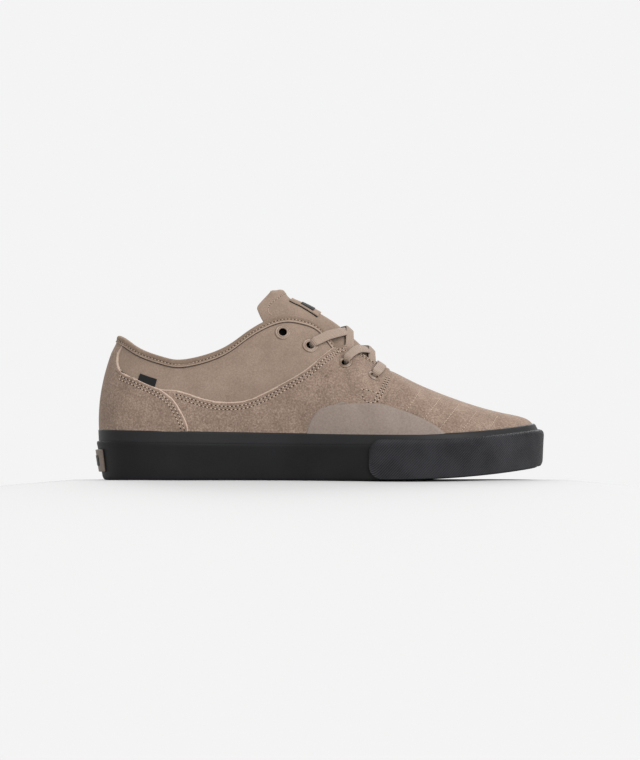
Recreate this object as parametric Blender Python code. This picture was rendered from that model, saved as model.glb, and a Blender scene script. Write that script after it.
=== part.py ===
"""A low skateboarding shoe for the right foot: cup sole, hollow lasted upper, overlays, padded collar, tongue and laces.

Metres, +Z up. +X runs from heel to toe and +Y from the outer side to the inner side of the foot.
The origin is on the ground, under the middle of the outsole's length.
"""

import math

import bmesh
import bpy
import numpy as np
from mathutils import Matrix, Vector

MM = 0.001

# Driving sizes of the last and the sole
SOLE_LENGTH = 298.2 * MM
BALL_WIDTH = 105.0 * MM
SEAT_HEIGHT = 34.0 * MM  # ground to the foxing's top edge at the heel
INSTEP_RISE = 77.0 * MM  # foxing's top edge at the heel up to the top of the instep
TOE_SPRING = 8.6 * MM
SPRING_START = 0.637  # share of the length where the sole leaves the ground

# Walls and clearances
GAP = 0.3 * MM
SOFT_GAP = 0.5 * MM  # between the padding and the shell
UPPER_WALL = 2.0 * MM
OVERLAY = 1.2 * MM
PATCH = 0.8 * MM
CUP_WALL = 2.6 * MM  # outsole's upstanding edge, inside the step
TIER_STEP = 1.4 * MM  # how far the outsole stands out under the foxing
FOXING = 1.6 * MM  # at its top edge
HEEL_TAPER = 4.7 * MM  # draw-in of the outsole's side down to the ground
SIDE_TAPER = 1.2 * MM
BUMPER = 1.5 * MM
BUMPER_LAP = 1.9 * MM  # bumper's top edge over the ledge
BUMPER_LIFT = 1.5 * MM  # bumper's lower edge over the sole's bottom
BUMPER_START = 0.616  # share of the length at which the bumper begins
SLAB_HEEL = 21.0 * MM  # rubber and foam under the heel
SLAB_BALL = 15.0 * MM
INSOLE = 4.5 * MM
COLLAR_BAND = 4.2 * MM  # cuff that shows on the outside
BAND_WALL = 0.9 * MM
ROLL = 1.5 * MM  # cuff over the upper's edge
PAD_DEPTH = 30.0 * MM  # how far the padding reaches down inside
PAD = 5.4 * MM
WALL_STEPS = 10  # faces of the upper from its lower edge to its top

# Small parts
EYELET_HOLE = 5.2 * MM
EYELET_BARREL = 0.6 * MM
EYELET_FLANGE = 10.0 * MM
PANEL_FLANGE = 8.6 * MM
FLANGE_LIFT = 0.7 * MM
EYELET_SIDES = 12
LACE_WIDTH = 7.0 * MM
LACE = 1.5 * MM
LACE_LIFT = 0.9 * MM
EDGE_LIFT = 0.8 * MM  # more where a lace crosses an edge
LACE_BAR_ROW = 13.6
BAR_LIFT = 0.3 * MM
LACE_STEPS = 15
LACE_BAR_X = 0.637
BADGE = 1.6 * MM
BADGE_WIDTH = 34.0 * MM
BADGE_LOW = 5.6 * MM
BADGE_HIGH = 20.5 * MM
INLAY = 0.4 * MM
INLAY_WIDTH = 22.0 * MM
INLAY_LOW = 9.4 * MM
INLAY_HIGH = 16.5 * MM
LABEL = 1.8 * MM
LABEL_WIDTH = 18.0 * MM
LABEL_FRONT = 0.500
LABEL_BACK = 0.436
PLATE = 0.5 * MM
PLATE_SHARE = 0.66
TAG = 0.6 * MM

ROWS = 21  # table rows from the heel's back to the toe's tip
LOOP = 2 * ROWS
THROAT_ROW = 15  # row at the throat's base, where the two sides meet
COLLAR_END = 10.25  # place on the loop where the padded cuff ends
COUNTER_SPAN = (-6, 6)  # places on the loop between which each overlay is laid before it is cut out
PANEL_SPAN = (3, 17)
PATCH_SPAN = (8, 16)
TAG_SPAN = (1, 6)

# One row for each section. x and y are shares of SOLE_LENGTH and BALL_WIDTH, top_z is a share of
# INSTEP_RISE above the seat. The top is the upper's edge, or its ridge where half_gap is 0.
# lean is the angle by which the wall leaves the sole outward; drop and plan are those at which it leaves
# the top. rise and reach are how far, as shares of the wall's height and span, each holds its direction.
SECTIONS = (
    # sole_x, outer_y, inner_y, top_x, half_gap, top_z, axis_y, lean, rise, reach, drop, plan
    (0.000, 0.000, 0.000, 0.0510, 0.000, 0.791, 0.010, 9.5, 0.39, 0.30, 67, 180),
    (0.0175, 0.184, 0.180, 0.0640, 0.115, 0.764, 0.010, 9.0, 0.38, 0.30, 70, 152),
    (0.065, 0.316, 0.307, 0.0990, 0.212, 0.676, 0.010, 8.0, 0.36, 0.30, 76, 122),
    (0.134, 0.368, 0.352, 0.1500, 0.268, 0.606, 0.010, 7.0, 0.35, 0.30, 82, 99),
    (0.215, 0.377, 0.345, 0.2000, 0.294, 0.5865, 0.010, 6.5, 0.34, 0.30, 84, 91),
    (0.295, 0.375, 0.320, 0.2800, 0.300, 0.684, 0.012, 6.0, 0.34, 0.31, 83, 90),
    (0.369, 0.383, 0.303, 0.3370, 0.290, 0.822, 0.016, 6.0, 0.35, 0.32, 79, 90),
    (0.433, 0.398, 0.304, 0.3870, 0.264, 0.932, 0.020, 6.0, 0.36, 0.33, 72, 90),
    (0.486, 0.419, 0.317, 0.4290, 0.236, 0.970, 0.024, 6.0, 0.38, 0.34, 64, 90),
    (0.533, 0.441, 0.339, 0.4680, 0.211, 0.942, 0.027, 6.0, 0.40, 0.34, 57, 90),
    (0.573, 0.461, 0.364, 0.5030, 0.196, 0.862, 0.030, 6.0, 0.42, 0.34, 52, 90),
    (0.610, 0.478, 0.390, 0.5370, 0.202, 0.704, 0.033, 6.0, 0.44, 0.35, 49, 90),
    (0.647, 0.491, 0.418, 0.5650, 0.165, 0.712, 0.035, 6.0, 0.48, 0.36, 40, 90),
    (0.684, 0.499, 0.443, 0.6140, 0.124, 0.594, 0.038, 6.0, 0.52, 0.38, 28, 90),
    (0.721, 0.500, 0.465, 0.6490, 0.075, 0.522, 0.040, 6.0, 0.54, 0.42, 14, 90),
    (0.761, 0.491, 0.480, 0.6660, 0.000, 0.498, 0.042, 6.0, 0.55, 0.45, 0, 90),
    (0.808, 0.469, 0.485, 0.7270, 0.000, 0.382, 0.045, 6.0, 0.58, 0.46, 0, 90),
    (0.8585, 0.425, 0.470, 0.7880, 0.000, 0.286, 0.048, 6.0, 0.62, 0.47, 0, 90),
    (0.9085, 0.358, 0.430, 0.8420, 0.000, 0.213, 0.052, 5.5, 0.68, 0.46, 2, 84),
    (0.9525, 0.263, 0.362, 0.8780, 0.000, 0.171, 0.055, 5.0, 0.76, 0.46, 5, 66),
    (0.986, 0.133, 0.252, 0.9020, 0.000, 0.147, 0.057, 4.5, 0.82, 0.52, 9, 37),
    (1.000, -0.055, 0.055, 0.9120, 0.000, 0.139, 0.058, 4.0, 0.84, 0.60, 11, 0),
)

# Heights along the sole, as shares of SOLE_LENGTH and of SEAT_HEIGHT
SOLE_LEVELS = (
    # x, foxing_top, tier_top
    (0.00, 0.990, 0.765),
    (0.10, 0.975, 0.750),
    (0.25, 0.955, 0.730),
    (0.45, 0.925, 0.712),
    (0.60, 0.905, 0.708),
    (0.72, 0.900, 0.730),
    (0.82, 0.935, 0.773),
    (0.90, 0.990, 0.835),
    (0.96, 1.050, 0.894),
    (1.00, 1.105, 0.938),
)

# How far the sole's wall draws in from its widest line, for each height share of the tier
WALL_PROFILE = (
    # height, taper_share
    (0.00, 1.00),
    (0.12, 0.78),
    (0.73, 0.27),
    (0.95, 0.00),
    (1.00, 0.05),
)

# Outlines of the overlays as seen from the side: shares of SOLE_LENGTH, and of INSTEP_RISE over the seat
COUNTER_FRONT = (
    (0.066, 0.800), (0.055, 0.700), (0.048, 0.650), (0.0465, 0.585), (0.050, 0.515), (0.061, 0.472),
    (0.083, 0.435), (0.106, 0.395), (0.128, 0.356), (0.145, 0.327), (0.159, 0.288), (0.173, 0.240),
    (0.184, 0.175), (0.194, 0.104), (0.202, 0.038), (0.208, -0.060),
)
WING_TOP = (
    (0.176, 0.327), (0.1955, 0.309), (0.219, 0.277), (0.2475, 0.240), (0.277, 0.222), (0.304, 0.220),
    (0.332, 0.231), (0.362, 0.270), (0.394, 0.331), (0.4285, 0.404), (0.463, 0.481), (0.498, 0.590),
    (0.522, 0.668), (0.541, 0.722), (0.556, 0.760), (0.580, 0.790), (0.680, 0.700),
)
WING_FRONT = (
    (0.667, 0.505), (0.664, 0.437), (0.658, 0.364), (0.647, 0.284), (0.628, 0.207),
)
PATCH_EDGE = (
    (0.468, -0.100), (0.472, -0.030), (0.481, 0.045), (0.492, 0.125), (0.512, 0.182), (0.544, 0.210),
    (0.589, 0.214), (0.626, 0.196), (0.664, 0.164), (0.701, 0.125), (0.738, 0.062), (0.757, 0.015),
    (0.773, -0.030), (0.788, -0.100),
)
TAG_CORNERS = ((0.099, 0.479), (0.1365, 0.425), (0.1330, 0.371), (0.0950, 0.430))

# Eyelets from the collar down, side-view place as shares of SOLE_LENGTH and of INSTEP_RISE over the seat
EYELETS = ((0.4185, 0.840), (0.480, 0.725), (0.559, 0.565), (0.621, 0.445))

# Tongue, from under the throat's base to its rolled top edge. x is a share of SOLE_LENGTH, top_z of
# INSTEP_RISE over the seat, half_width and side_drop of BALL_WIDTH and pad of TONGUE_PAD. tilt is the angle at
# which the sides fall behind the middle. front and back are the shares of the local thickness at which the two
# faces lie, so that the last rows close the roll.
TONGUE_PAD = 7.6 * MM
TONGUE_SKIN = 2.4 * MM
TONGUE = (
    # x, top_z, half_width, side_drop, tilt, pad, front, back
    (0.700, 0.386, 0.115, 0.030, 27, 0.0, 0.00, 1.00),
    (0.668, 0.449, 0.140, 0.070, 33, 0.0, 0.00, 1.00),
    (0.640, 0.545, 0.175, 0.180, 42, 0.0, 0.00, 1.00),
    (0.605, 0.690, 0.200, 0.205, 44, 0.0, 0.00, 1.00),
    (0.570, 0.812, 0.222, 0.240, 42, 0.1, 0.00, 1.00),
    (0.537, 0.920, 0.236, 0.310, 39, 0.3, 0.00, 1.00),
    (0.503, 1.003, 0.232, 0.300, 41, 0.5, 0.00, 1.00),
    (0.465, 1.080, 0.224, 0.262, 46, 0.8, 0.00, 1.00),
    (0.437, 1.130, 0.222, 0.225, 50, 1.0, 0.00, 1.00),
    (0.4275, 1.166, 0.220, 0.212, 52, 1.0, 0.00, 1.00),
    (0.422, 1.206, 0.216, 0.205, 53, 1.0, 0.04, 0.98),
    (0.4155, 1.236, 0.208, 0.190, 53, 1.0, 0.20, 0.90),
    (0.409, 1.254, 0.196, 0.168, 52, 1.0, 0.44, 0.78),
)

# Lace crossings: where the strip leaves the side (seen from the side), the loop place at which it passes the
# throat's edge, the skin under it there, and on the tongue its crossing, its dive and how far across it reaches
LACE_CROSSES = (
    # name, start, edge_row, skin, cross_x, dive_x, reach
    ("lace_cross_upper", (0.500, 0.765), 10.45, GAP + ROLL, 0.562, 0.578, 0.50),
    ("lace_cross_lower", (0.576, 0.592), 12.5, GAP + OVERLAY, 0.611, 0.622, 0.42),
)
QUARTER_EYELETS = 2  # eyelets that sit in the quarter, not in the side panel


def periodic_spline(values):
    """Smooth closed curve through the values, which stand at 0, 1, 2, ... LOOP - 1."""
    y = np.asarray(values, float)
    n = len(y)
    system = 4 * np.eye(n) + np.roll(np.eye(n), 1, axis=1) + np.roll(np.eye(n), -1, axis=1)
    bend = np.linalg.solve(system, 6 * (np.roll(y, -1) - 2 * y + np.roll(y, 1)))

    def at(u):
        u = np.mod(np.asarray(u, float), n)
        i = np.floor(u).astype(int) % n
        j = (i + 1) % n
        b = u - np.floor(u)
        a = 1 - b
        return a * y[i] + b * y[j] + ((a**3 - a) * bend[i] + (b**3 - b) * bend[j]) / 6

    return at


def steady_curve(xs, values):
    """Curve through the points that never overshoots them: cubic with limited slopes."""
    x, y = np.asarray(xs, float), np.asarray(values, float)
    step = np.diff(x)
    slope = np.diff(y) / step
    tangent = np.zeros(len(x))
    tangent[0], tangent[-1] = slope[0], slope[-1]
    for i in range(1, len(x) - 1):
        if slope[i - 1] * slope[i] > 0:
            w1, w2 = 2 * step[i] + step[i - 1], step[i] + 2 * step[i - 1]
            tangent[i] = (w1 + w2) / (w1 / slope[i - 1] + w2 / slope[i])

    def at(u):
        u = np.clip(np.asarray(u, float), x[0], x[-1])
        i = np.clip(np.searchsorted(x, u, side="right") - 1, 0, len(x) - 2)
        h = step[i]
        t = (u - x[i]) / h
        return (
            (2 * t**3 - 3 * t**2 + 1) * y[i]
            + (t**3 - 2 * t**2 + t) * h * tangent[i]
            + (3 * t**2 - 2 * t**3) * y[i + 1]
            + (t**3 - t**2) * h * tangent[i + 1]
        )

    return at


def folded(u):
    """The table row for a place on the loop, and +1 on the inner side or -1 on the outer side."""
    u = np.mod(np.asarray(u, float), LOOP)
    return np.where(u <= ROWS, u, LOOP - u), np.where(u <= ROWS, -1.0, 1.0)


TABLE = np.array(SECTIONS, float)
_outline_x = periodic_spline([*TABLE[:, 0], *TABLE[-2:0:-1, 0]])
_outline_y = periodic_spline([*-TABLE[:, 1], *TABLE[-2:0:-1, 2]])
_top = [steady_curve(range(ROWS + 1), TABLE[:, column]) for column in range(3, 12)]
_levels = np.array(SOLE_LEVELS, float)
_foxing_share = steady_curve(_levels[:, 0], _levels[:, 1])
_tier_share = steady_curve(_levels[:, 0], _levels[:, 2])


def share_along(x):
    """Share of the sole's length at a row-frame x."""
    return np.clip(x / SOLE_LENGTH + 0.5, 0, 1)


def sole_bottom(x):
    past = np.clip((share_along(x) - SPRING_START) / (1 - SPRING_START), 0, 1)
    return TOE_SPRING * past**2.13


def slab_top(x):
    """Top of the sole's slab, on which insole and upper stand."""
    blend = np.clip((share_along(x) - 0.30) / 0.40, 0, 1)
    blend = blend * blend * (3 - 2 * blend)
    return sole_bottom(x) + SLAB_HEEL + (SLAB_BALL - SLAB_HEEL) * blend


def foxing_top(x):
    return SEAT_HEIGHT * _foxing_share(share_along(x))


def tier_top(x):
    return SEAT_HEIGHT * _tier_share(share_along(x))


def outline(u, inset=0.0):
    """Points of the sole's widest line, drawn in by the inset along its normal, and those normals."""
    u = np.asarray(u, float)
    small = 1e-3
    x = (_outline_x(u) - 0.5) * SOLE_LENGTH
    y = _outline_y(u) * BALL_WIDTH
    along_x = (_outline_x(u + small) - _outline_x(u - small)) * SOLE_LENGTH
    along_y = (_outline_y(u + small) - _outline_y(u - small)) * BALL_WIDTH
    length = np.hypot(along_x, along_y)
    out_x, out_y = along_y / length, -along_x / length
    return x - inset * out_x, y - inset * out_y, out_x, out_y


WALL_INSET = TIER_STEP + CUP_WALL + GAP  # from the sole's widest line in to the upper


def profile(u):
    """The four control points of the upper's outer wall at u, from its bottom edge to its top."""
    row, side = folded(u)
    top_x, half_gap, top_z, axis_y, lean, rise, reach, drop, plan = (curve(row) for curve in _top)
    bottom_x, bottom_y, out_x, out_y = outline(u, WALL_INSET)
    bottom = np.stack([bottom_x, bottom_y, slab_top(bottom_x) + GAP], -1)
    top = np.stack(
        [
            (top_x - 0.5) * SOLE_LENGTH,
            (axis_y + side * half_gap) * BALL_WIDTH,
            SEAT_HEIGHT + top_z * INSTEP_RISE,
        ],
        -1,
    )
    lean, drop, plan = np.radians(lean), np.radians(drop), np.radians(plan)
    leaving = np.stack(
        [np.cos(plan) * np.cos(drop), side * np.sin(plan) * np.cos(drop), -np.sin(drop)], -1
    )
    height = top[..., 2:] - bottom[..., 2:]
    span = np.linalg.norm(top - bottom, axis=-1, keepdims=True)
    swell = np.stack([out_x, out_y, 0 * out_x], -1) * np.tan(lean)[..., None]
    lower = bottom + rise[..., None] * height * (np.array([0, 0, 1]) + swell)
    upper = top + reach[..., None] * span * leaving
    return bottom, lower, upper, top


def wall(u, v):
    """Point of the upper's outer face: v is 0 at its bottom edge and 1 at its top edge or ridge."""
    u, v = np.broadcast_arrays(np.asarray(u, float), np.asarray(v, float))
    a, b, c, d = profile(u)
    t = v[..., None]
    s = 1 - t
    return s**3 * a + 3 * s * s * t * b + 3 * s * t * t * c + t**3 * d


def wall_normal(u, v):
    """Outward normal of that face."""
    u, v = np.broadcast_arrays(np.asarray(u, float), np.asarray(v, float))
    small = 1e-3
    across = wall(u + small, v) - wall(u - small, v)
    ridge = (v > 1 - 1e-6) & (folded(u)[0] >= THROAT_ROW)
    across = np.where(ridge[..., None], np.array([1.0, 0.0, 0.0]), across)
    up = wall(u, np.minimum(v + small, 1)) - wall(u, np.maximum(v - small, 0))
    normal = np.cross(across, up)
    facing = np.where(ridge & (normal[..., 2] < 0), -1.0, 1.0)
    return normal * facing[..., None] / np.linalg.norm(normal, axis=-1, keepdims=True)


def heights(u, count=97):
    """Samples of the wall along v, from which a height or a distance from the top is looked up."""
    v = np.linspace(0, 1, count)
    return v, wall(np.asarray(u, float)[..., None], v)


def v_at_height(u, z):
    """Share of the way up the wall at which it reaches the height z."""
    v, points = heights(u)
    z = np.broadcast_to(z, np.shape(u))
    return np.array([np.interp(h, line[:, 2], v) for h, line in zip(np.ravel(z), points)])


def v_below_top(u, distance):
    """Share of the way up the wall at a distance below its top edge, measured along the wall."""
    v, points = heights(u)
    found = []
    for line, down in zip(points, np.broadcast_to(distance, np.shape(u))):
        run = np.concatenate([[0], np.cumsum(np.linalg.norm(np.diff(line, axis=0), axis=1))])
        found.append(np.interp(run[-1] - down, run, v))
    return np.array(found)


def along_outline(x, inner=False):
    """Place on the loop where the sole's widest line reaches the row-frame x."""
    low, high = 1.0, float(ROWS)
    for _ in range(50):
        middle = (low + high) / 2
        reached = outline(LOOP - middle if inner else middle)[0] < x
        low, high = (middle, high) if reached else (low, middle)
    return LOOP - low if inner else low


HALF = [*np.arange(0, 3, 0.5), *range(3, 17), *np.arange(17, ROWS + 0.1, 0.5)]
AROUND = np.array([*HALF, *(LOOP - u for u in HALF[-2:0:-1])])


def between(start, end):
    """The shared stations from start to end, with both ends; start may be negative, past the heel."""
    inner = [u - LOOP for u in AROUND if u > ROWS]
    return np.array([start, *sorted(u for u in [*inner, *AROUND] if start + 0.05 < u < end - 0.05), end])


def new_material(name, colour, roughness, metallic=0.0):
    material = bpy.data.materials.new(name)
    material.use_nodes = True
    shader = material.node_tree.nodes["Principled BSDF"]
    shader.inputs["Base Color"].default_value = (*colour, 1)
    shader.inputs["Roughness"].default_value = roughness
    shader.inputs["Metallic"].default_value = metallic
    return material


def new_object(name, bm, material, sharp=40):
    mesh = bpy.data.meshes.new(name)
    bm.to_mesh(mesh)
    bm.free()
    mesh.shade_smooth()
    mesh.set_sharp_from_angle(angle=math.radians(sharp))
    if material:
        mesh.materials.append(material)
    piece = bpy.data.objects.new(name, mesh)
    bpy.context.collection.objects.link(piece)
    return piece


def loft(name, sections, material, closed=False):
    """Solid through rings of points, one ring for each section; its ends are capped unless it is closed."""
    bm = bmesh.new()
    rings = [[bm.verts.new(point) for point in ring] for ring in sections]
    size = len(rings[0])
    pairs = list(zip(rings, rings[1:]))
    if closed:
        pairs.append((rings[-1], rings[0]))
    for one, two in pairs:
        for i in range(size):
            j = (i + 1) % size
            bm.faces.new((one[i], one[j], two[j], two[i]))
    if not closed:
        bm.faces.new(rings[0])
        bm.faces.new(rings[-1])
    bmesh.ops.recalc_face_normals(bm, faces=bm.faces)
    return new_object(name, bm, material)


def cup(name, paths, material):
    """Solid whose side is one path for each station around the foot, floored and roofed by cross strips."""
    bm = bmesh.new()
    sides = [[bm.verts.new(point) for point in path] for path in paths]
    count = len(sides)
    for one, two in zip(sides, sides[1:] + sides[:1]):
        for i in range(len(one) - 1):
            bm.faces.new((one[i], one[i + 1], two[i + 1], two[i]))
    for level in (0, -1):
        for i in range(count // 2):
            corners = [i, i + 1, (count - i - 1) % count, (count - i) % count]
            bm.faces.new([sides[c][level] for c in dict.fromkeys(corners)])
    bmesh.ops.recalc_face_normals(bm, faces=bm.faces)
    return new_object(name, bm, material)


def cut(piece, cutter, operation="DIFFERENCE"):
    modifier = piece.modifiers.new(f"{operation.title()} {cutter.name}", "BOOLEAN")
    modifier.operation = operation
    modifier.solver = "EXACT"
    modifier.object = cutter


def guide(piece):
    """Marks an object as a cutter, which isn't part of the shoe."""
    piece.hide_render = True
    piece.display_type = "WIRE"
    return piece


def sole_face(u, height):
    """Point of the outsole's outer side at a share of the lower tier's height."""
    profile_height, profile_taper = np.array(WALL_PROFILE).T
    heel_share = np.maximum(0, -outline(u)[2]) ** 2
    taper = SIDE_TAPER + (HEEL_TAPER - SIDE_TAPER) * heel_share
    x, y, _, _ = outline(u, taper * np.interp(height, profile_height, profile_taper))
    low = sole_bottom(x)
    return np.stack([x, y, low + (tier_top(x) - low) * height], -1)


def pushed(u, point, distance):
    """The point moved outward and level, along the sole's normal at u."""
    _, _, out_x, out_y = outline(u)
    return point + distance * np.stack([out_x, out_y, 0 * out_x], -1)


def wall_at(u, z, distance=GAP):
    """Point at a level distance outside the upper's wall, at the height z."""
    point = pushed(u, wall(u, v_at_height(u, z)), distance)
    point[..., 2] = z
    return point


def build_outsole(material):
    """Cup of rubber: tapered side, ledge that carries the foxing, recess that holds the upper."""
    u = AROUND
    x = outline(u)[0]
    path = [sole_face(u, height) for height, _ in WALL_PROFILE]
    seat = pushed(u, wall(u, 0), GAP)
    seat[..., 2] = slab_top(seat[..., 0])
    for share in (1.0, 0.5):
        path.append(wall_at(u, seat[..., 2] + share * (tier_top(x) - seat[..., 2])))
    path.append(seat)
    return cup("outsole", np.stack(path, 1), material)


def foxing_face(u, z):
    """Point of the foxing's outer face at the height z."""
    x = outline(u)[0]
    low, high = tier_top(x) + GAP, foxing_top(x)
    bottom = np.stack([*outline(u, TIER_STEP)[:2], low], -1)
    top = wall_at(u, high, GAP + FOXING)
    return bottom + (top - bottom) * ((z - low) / (high - low))[..., None]


def build_foxing(material):
    """Tape of rubber that stands on the outsole's ledge and grips the upper's lower edge."""
    u = AROUND
    x = outline(u)[0]
    low, high = tier_top(x) + GAP, foxing_top(x)
    ring = [foxing_face(u, low), foxing_face(u, high)]
    ring += [wall_at(u, low + share * (high - low)) for share in (1.0, 0.66, 0.33, 0.0)]
    return loft("foxing", np.stack(ring, 1), material, closed=True)


def bumper_top(x):
    """Upper edge of the toe bumper: it starts just over the ledge and keeps close to it."""
    return tier_top(x) + BUMPER_LAP


def build_bumper(material):
    """Thicker cap of rubber around the toe, over the outsole's side and the foot of the foxing."""
    start = (BUMPER_START - 0.5) * SOLE_LENGTH
    u = between(along_outline(start), along_outline(start, inner=True))
    x = outline(u)[0]
    low = BUMPER_LIFT / (tier_top(x) - sole_bottom(x))
    ledge, top = tier_top(x) + GAP, bumper_top(x)
    shoulder = pushed(u, sole_face(u, 1.0), GAP)
    shoulder[..., 2] = ledge
    crest = pushed(u, sole_face(u, 1.0), GAP + BUMPER)
    crest[..., 2] = top - 1.6 * BUMPER
    ring = [
        pushed(u, sole_face(u, low), GAP),
        pushed(u, sole_face(u, 0.5), GAP),
        shoulder,
        pushed(u, foxing_face(u, ledge), GAP),
        pushed(u, foxing_face(u, top), GAP),
        crest,
        pushed(u, sole_face(u, 0.5), GAP + BUMPER),
        pushed(u, sole_face(u, low), GAP + BUMPER),
    ]
    return loft("toe_bumper", np.stack(ring, 1), material)


def heel_plate(name, half_width, low, high, lift, thickness, material):
    """Plate that follows the heel's outer side between two heights."""
    reach = float(np.interp(half_width, -outline(np.linspace(0, 2, 60))[1], np.linspace(0, 2, 60)))
    inner = float(np.interp(half_width, outline(-np.linspace(0, 2, 60))[1], np.linspace(0, 2, 60)))
    u = between(-inner, reach)
    height = [np.full(u.shape, z / tier_top(-SOLE_LENGTH / 2)) for z in (low, (low + high) / 2, high)]
    ring = [pushed(u, sole_face(u, h), lift) for h in height]
    ring += [pushed(u, sole_face(u, h), lift + thickness) for h in reversed(height)]
    return loft(name, np.stack(ring, 1), material)


def build_insole(material):
    """Foam footbed inside the upper's lower edge."""
    u = AROUND
    inset = WALL_INSET + UPPER_WALL + GAP
    path = []
    for share, lift in ((0.0, 0.0), (0.0, 0.75), (0.35, 1.0)):
        x, y, _, _ = outline(u, inset + share * INSOLE)
        path.append(np.stack([x, y, slab_top(x) + GAP + lift * INSOLE], -1))
    return cup("insole", np.stack(path, 1), material)


def upper_sheet(columns, low, high, offset=0.0):
    """Grid on the upper's wall between the v values low and high of each column.

    Every sheet shares the shell's own levels, so that its faces lie parallel to the shell's.
    """
    bm = bmesh.new()
    for side in columns:
        u = np.asarray(side, float)
        bottom, top = low(u), high(u)
        grid = []
        for step in range(WALL_STEPS + 1):
            v = np.clip(step / WALL_STEPS, bottom, top)
            points = wall(u, v) + offset * wall_normal(u, v)
            grid.append([bm.verts.new(point) for point in points])
        for one, two in zip(grid, grid[1:]):
            for i in range(len(u) - 1):
                bm.faces.new((one[i], one[i + 1], two[i + 1], two[i]))
    bmesh.ops.triangulate(bm, faces=bm.faces, quad_method="FIXED")
    bmesh.ops.remove_doubles(bm, verts=bm.verts, dist=WELD)
    bmesh.ops.dissolve_degenerate(bm, edges=bm.edges, dist=WELD)
    loose = [vertex for vertex in bm.verts if not vertex.link_faces]
    bmesh.ops.delete(bm, geom=loose, context="VERTS")
    return bm


def thicken(piece, wall_thickness, outward):
    modifier = piece.modifiers.new("Wall", "SOLIDIFY")
    modifier.thickness = wall_thickness
    modifier.offset = 1 if outward else -1
    modifier.use_even_offset = True


WELD = 0.001 * MM


def build_upper(material):
    """Hollow shell, open at the collar and throat and underneath, with a hole for each eyelet."""
    outer = HALF
    inner = [LOOP - u for u in reversed(HALF)]
    bm = upper_sheet((outer, inner), lambda u: 0 * u, to_edge)
    piece = new_object("upper", bm, material)
    thicken(piece, UPPER_WALL, outward=False)
    return piece


def side_point(x, z):
    """Row-frame x and z of an outline's point, from its shares."""
    return (x - 0.5) * SOLE_LENGTH, SEAT_HEIGHT + z * INSTEP_RISE


def moved(points, distance):
    """The open outline moved to its left by a distance."""
    flat = np.array(points)
    run = np.gradient(flat, axis=0)
    run /= np.linalg.norm(run, axis=1, keepdims=True)
    return [tuple(p) for p in flat + distance * np.stack([-run[:, 1], run[:, 0]], -1)]


def prism(name, points, low_y, high_y):
    """Cutter: an outline seen from the side, drawn out across the shoe."""
    bm = bmesh.new()
    face = bm.faces.new([bm.verts.new((x, low_y, z)) for x, z in points])
    grown = bmesh.ops.extrude_face_region(bm, geom=[face])
    corners = [item for item in grown["geom"] if isinstance(item, bmesh.types.BMVert)]
    bmesh.ops.translate(bm, verts=corners, vec=(0, high_y - low_y, 0))
    bmesh.ops.recalc_face_normals(bm, faces=bm.faces)
    return guide(new_object(name, bm, None))


def overlay(name, stations, high, thickness, outline_cutter, material):
    """Panel laid on the upper, cut to its outline."""
    bm = upper_sheet((stations,), above_foxing, high, offset=GAP)
    piece = new_object(name, bm, material)
    thicken(piece, thickness, outward=True)
    cut(piece, outline_cutter, "INTERSECT")
    return piece


def above_foxing(u):
    return v_at_height(u, foxing_top(outline(u)[0]) + GAP)


def under_band(u):
    return v_below_top(u, COLLAR_BAND + GAP)


def to_edge(u):
    return 0 * u + 1


def build_overlays(material, patch_material, tag_material):
    counter_edge = [side_point(*p) for p in COUNTER_FRONT]
    wing_edge = [side_point(*p) for p in WING_TOP]
    front_edge = [side_point(*p) for p in WING_FRONT]
    patch_edge = [side_point(*p) for p in PATCH_EDGE]
    half = BALL_WIDTH
    back = -SOLE_LENGTH
    behind = [*counter_edge, (back, counter_edge[-1][1]), (back, counter_edge[0][1] + INSTEP_RISE)]
    behind.append((counter_edge[0][0], counter_edge[0][1] + INSTEP_RISE))
    counter_cutter = prism("counter_outline", behind, -half, half)
    overlay("heel_counter", between(*COUNTER_SPAN), under_band, OVERLAY, counter_cutter, material)
    clear_of_counter = [p for p in moved(counter_edge, GAP) if p[1] < wing_edge[0][1]]
    clear_of_patch = moved(patch_edge, GAP)
    over_patch = [p for p in clear_of_patch if p[0] < front_edge[-1][0]]
    lateral = [*wing_edge, *front_edge, *reversed(over_patch), *reversed(clear_of_counter)]
    low_front = side_point(0.598, -0.10)
    medial = [*wing_edge, *front_edge, low_front, *reversed(clear_of_counter)]
    stations = between(*PANEL_SPAN)
    lateral_cutter = prism("lateral_panel_outline", lateral, -half, 0)
    medial_cutter = prism("medial_panel_outline", medial, 0, half)
    panels = [
        overlay("side_panel_lateral", stations, to_edge, OVERLAY, lateral_cutter, material),
        overlay("side_panel_medial", LOOP - stations[::-1], to_edge, OVERLAY, medial_cutter, material),
    ]
    patch_cutter = prism("patch_outline", patch_edge, -half, 0)
    overlay("ollie_patch", between(*PATCH_SPAN), under_band, PATCH, patch_cutter, patch_material)
    tag_cutter = prism("tag_outline", [side_point(*p) for p in TAG_CORNERS], -half, 0)
    overlay("side_tag", between(*TAG_SPAN), under_band, TAG, tag_cutter, tag_material)
    return panels


def pad_share(u):
    """How full the collar's padding is: full around the ankle, thin along the throat."""
    row, _ = folded(u)
    return np.interp(row, [0, 4, 6, 7.5, ROWS], [0.9, 1.0, 0.75, 0.18, 0.18])


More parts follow.
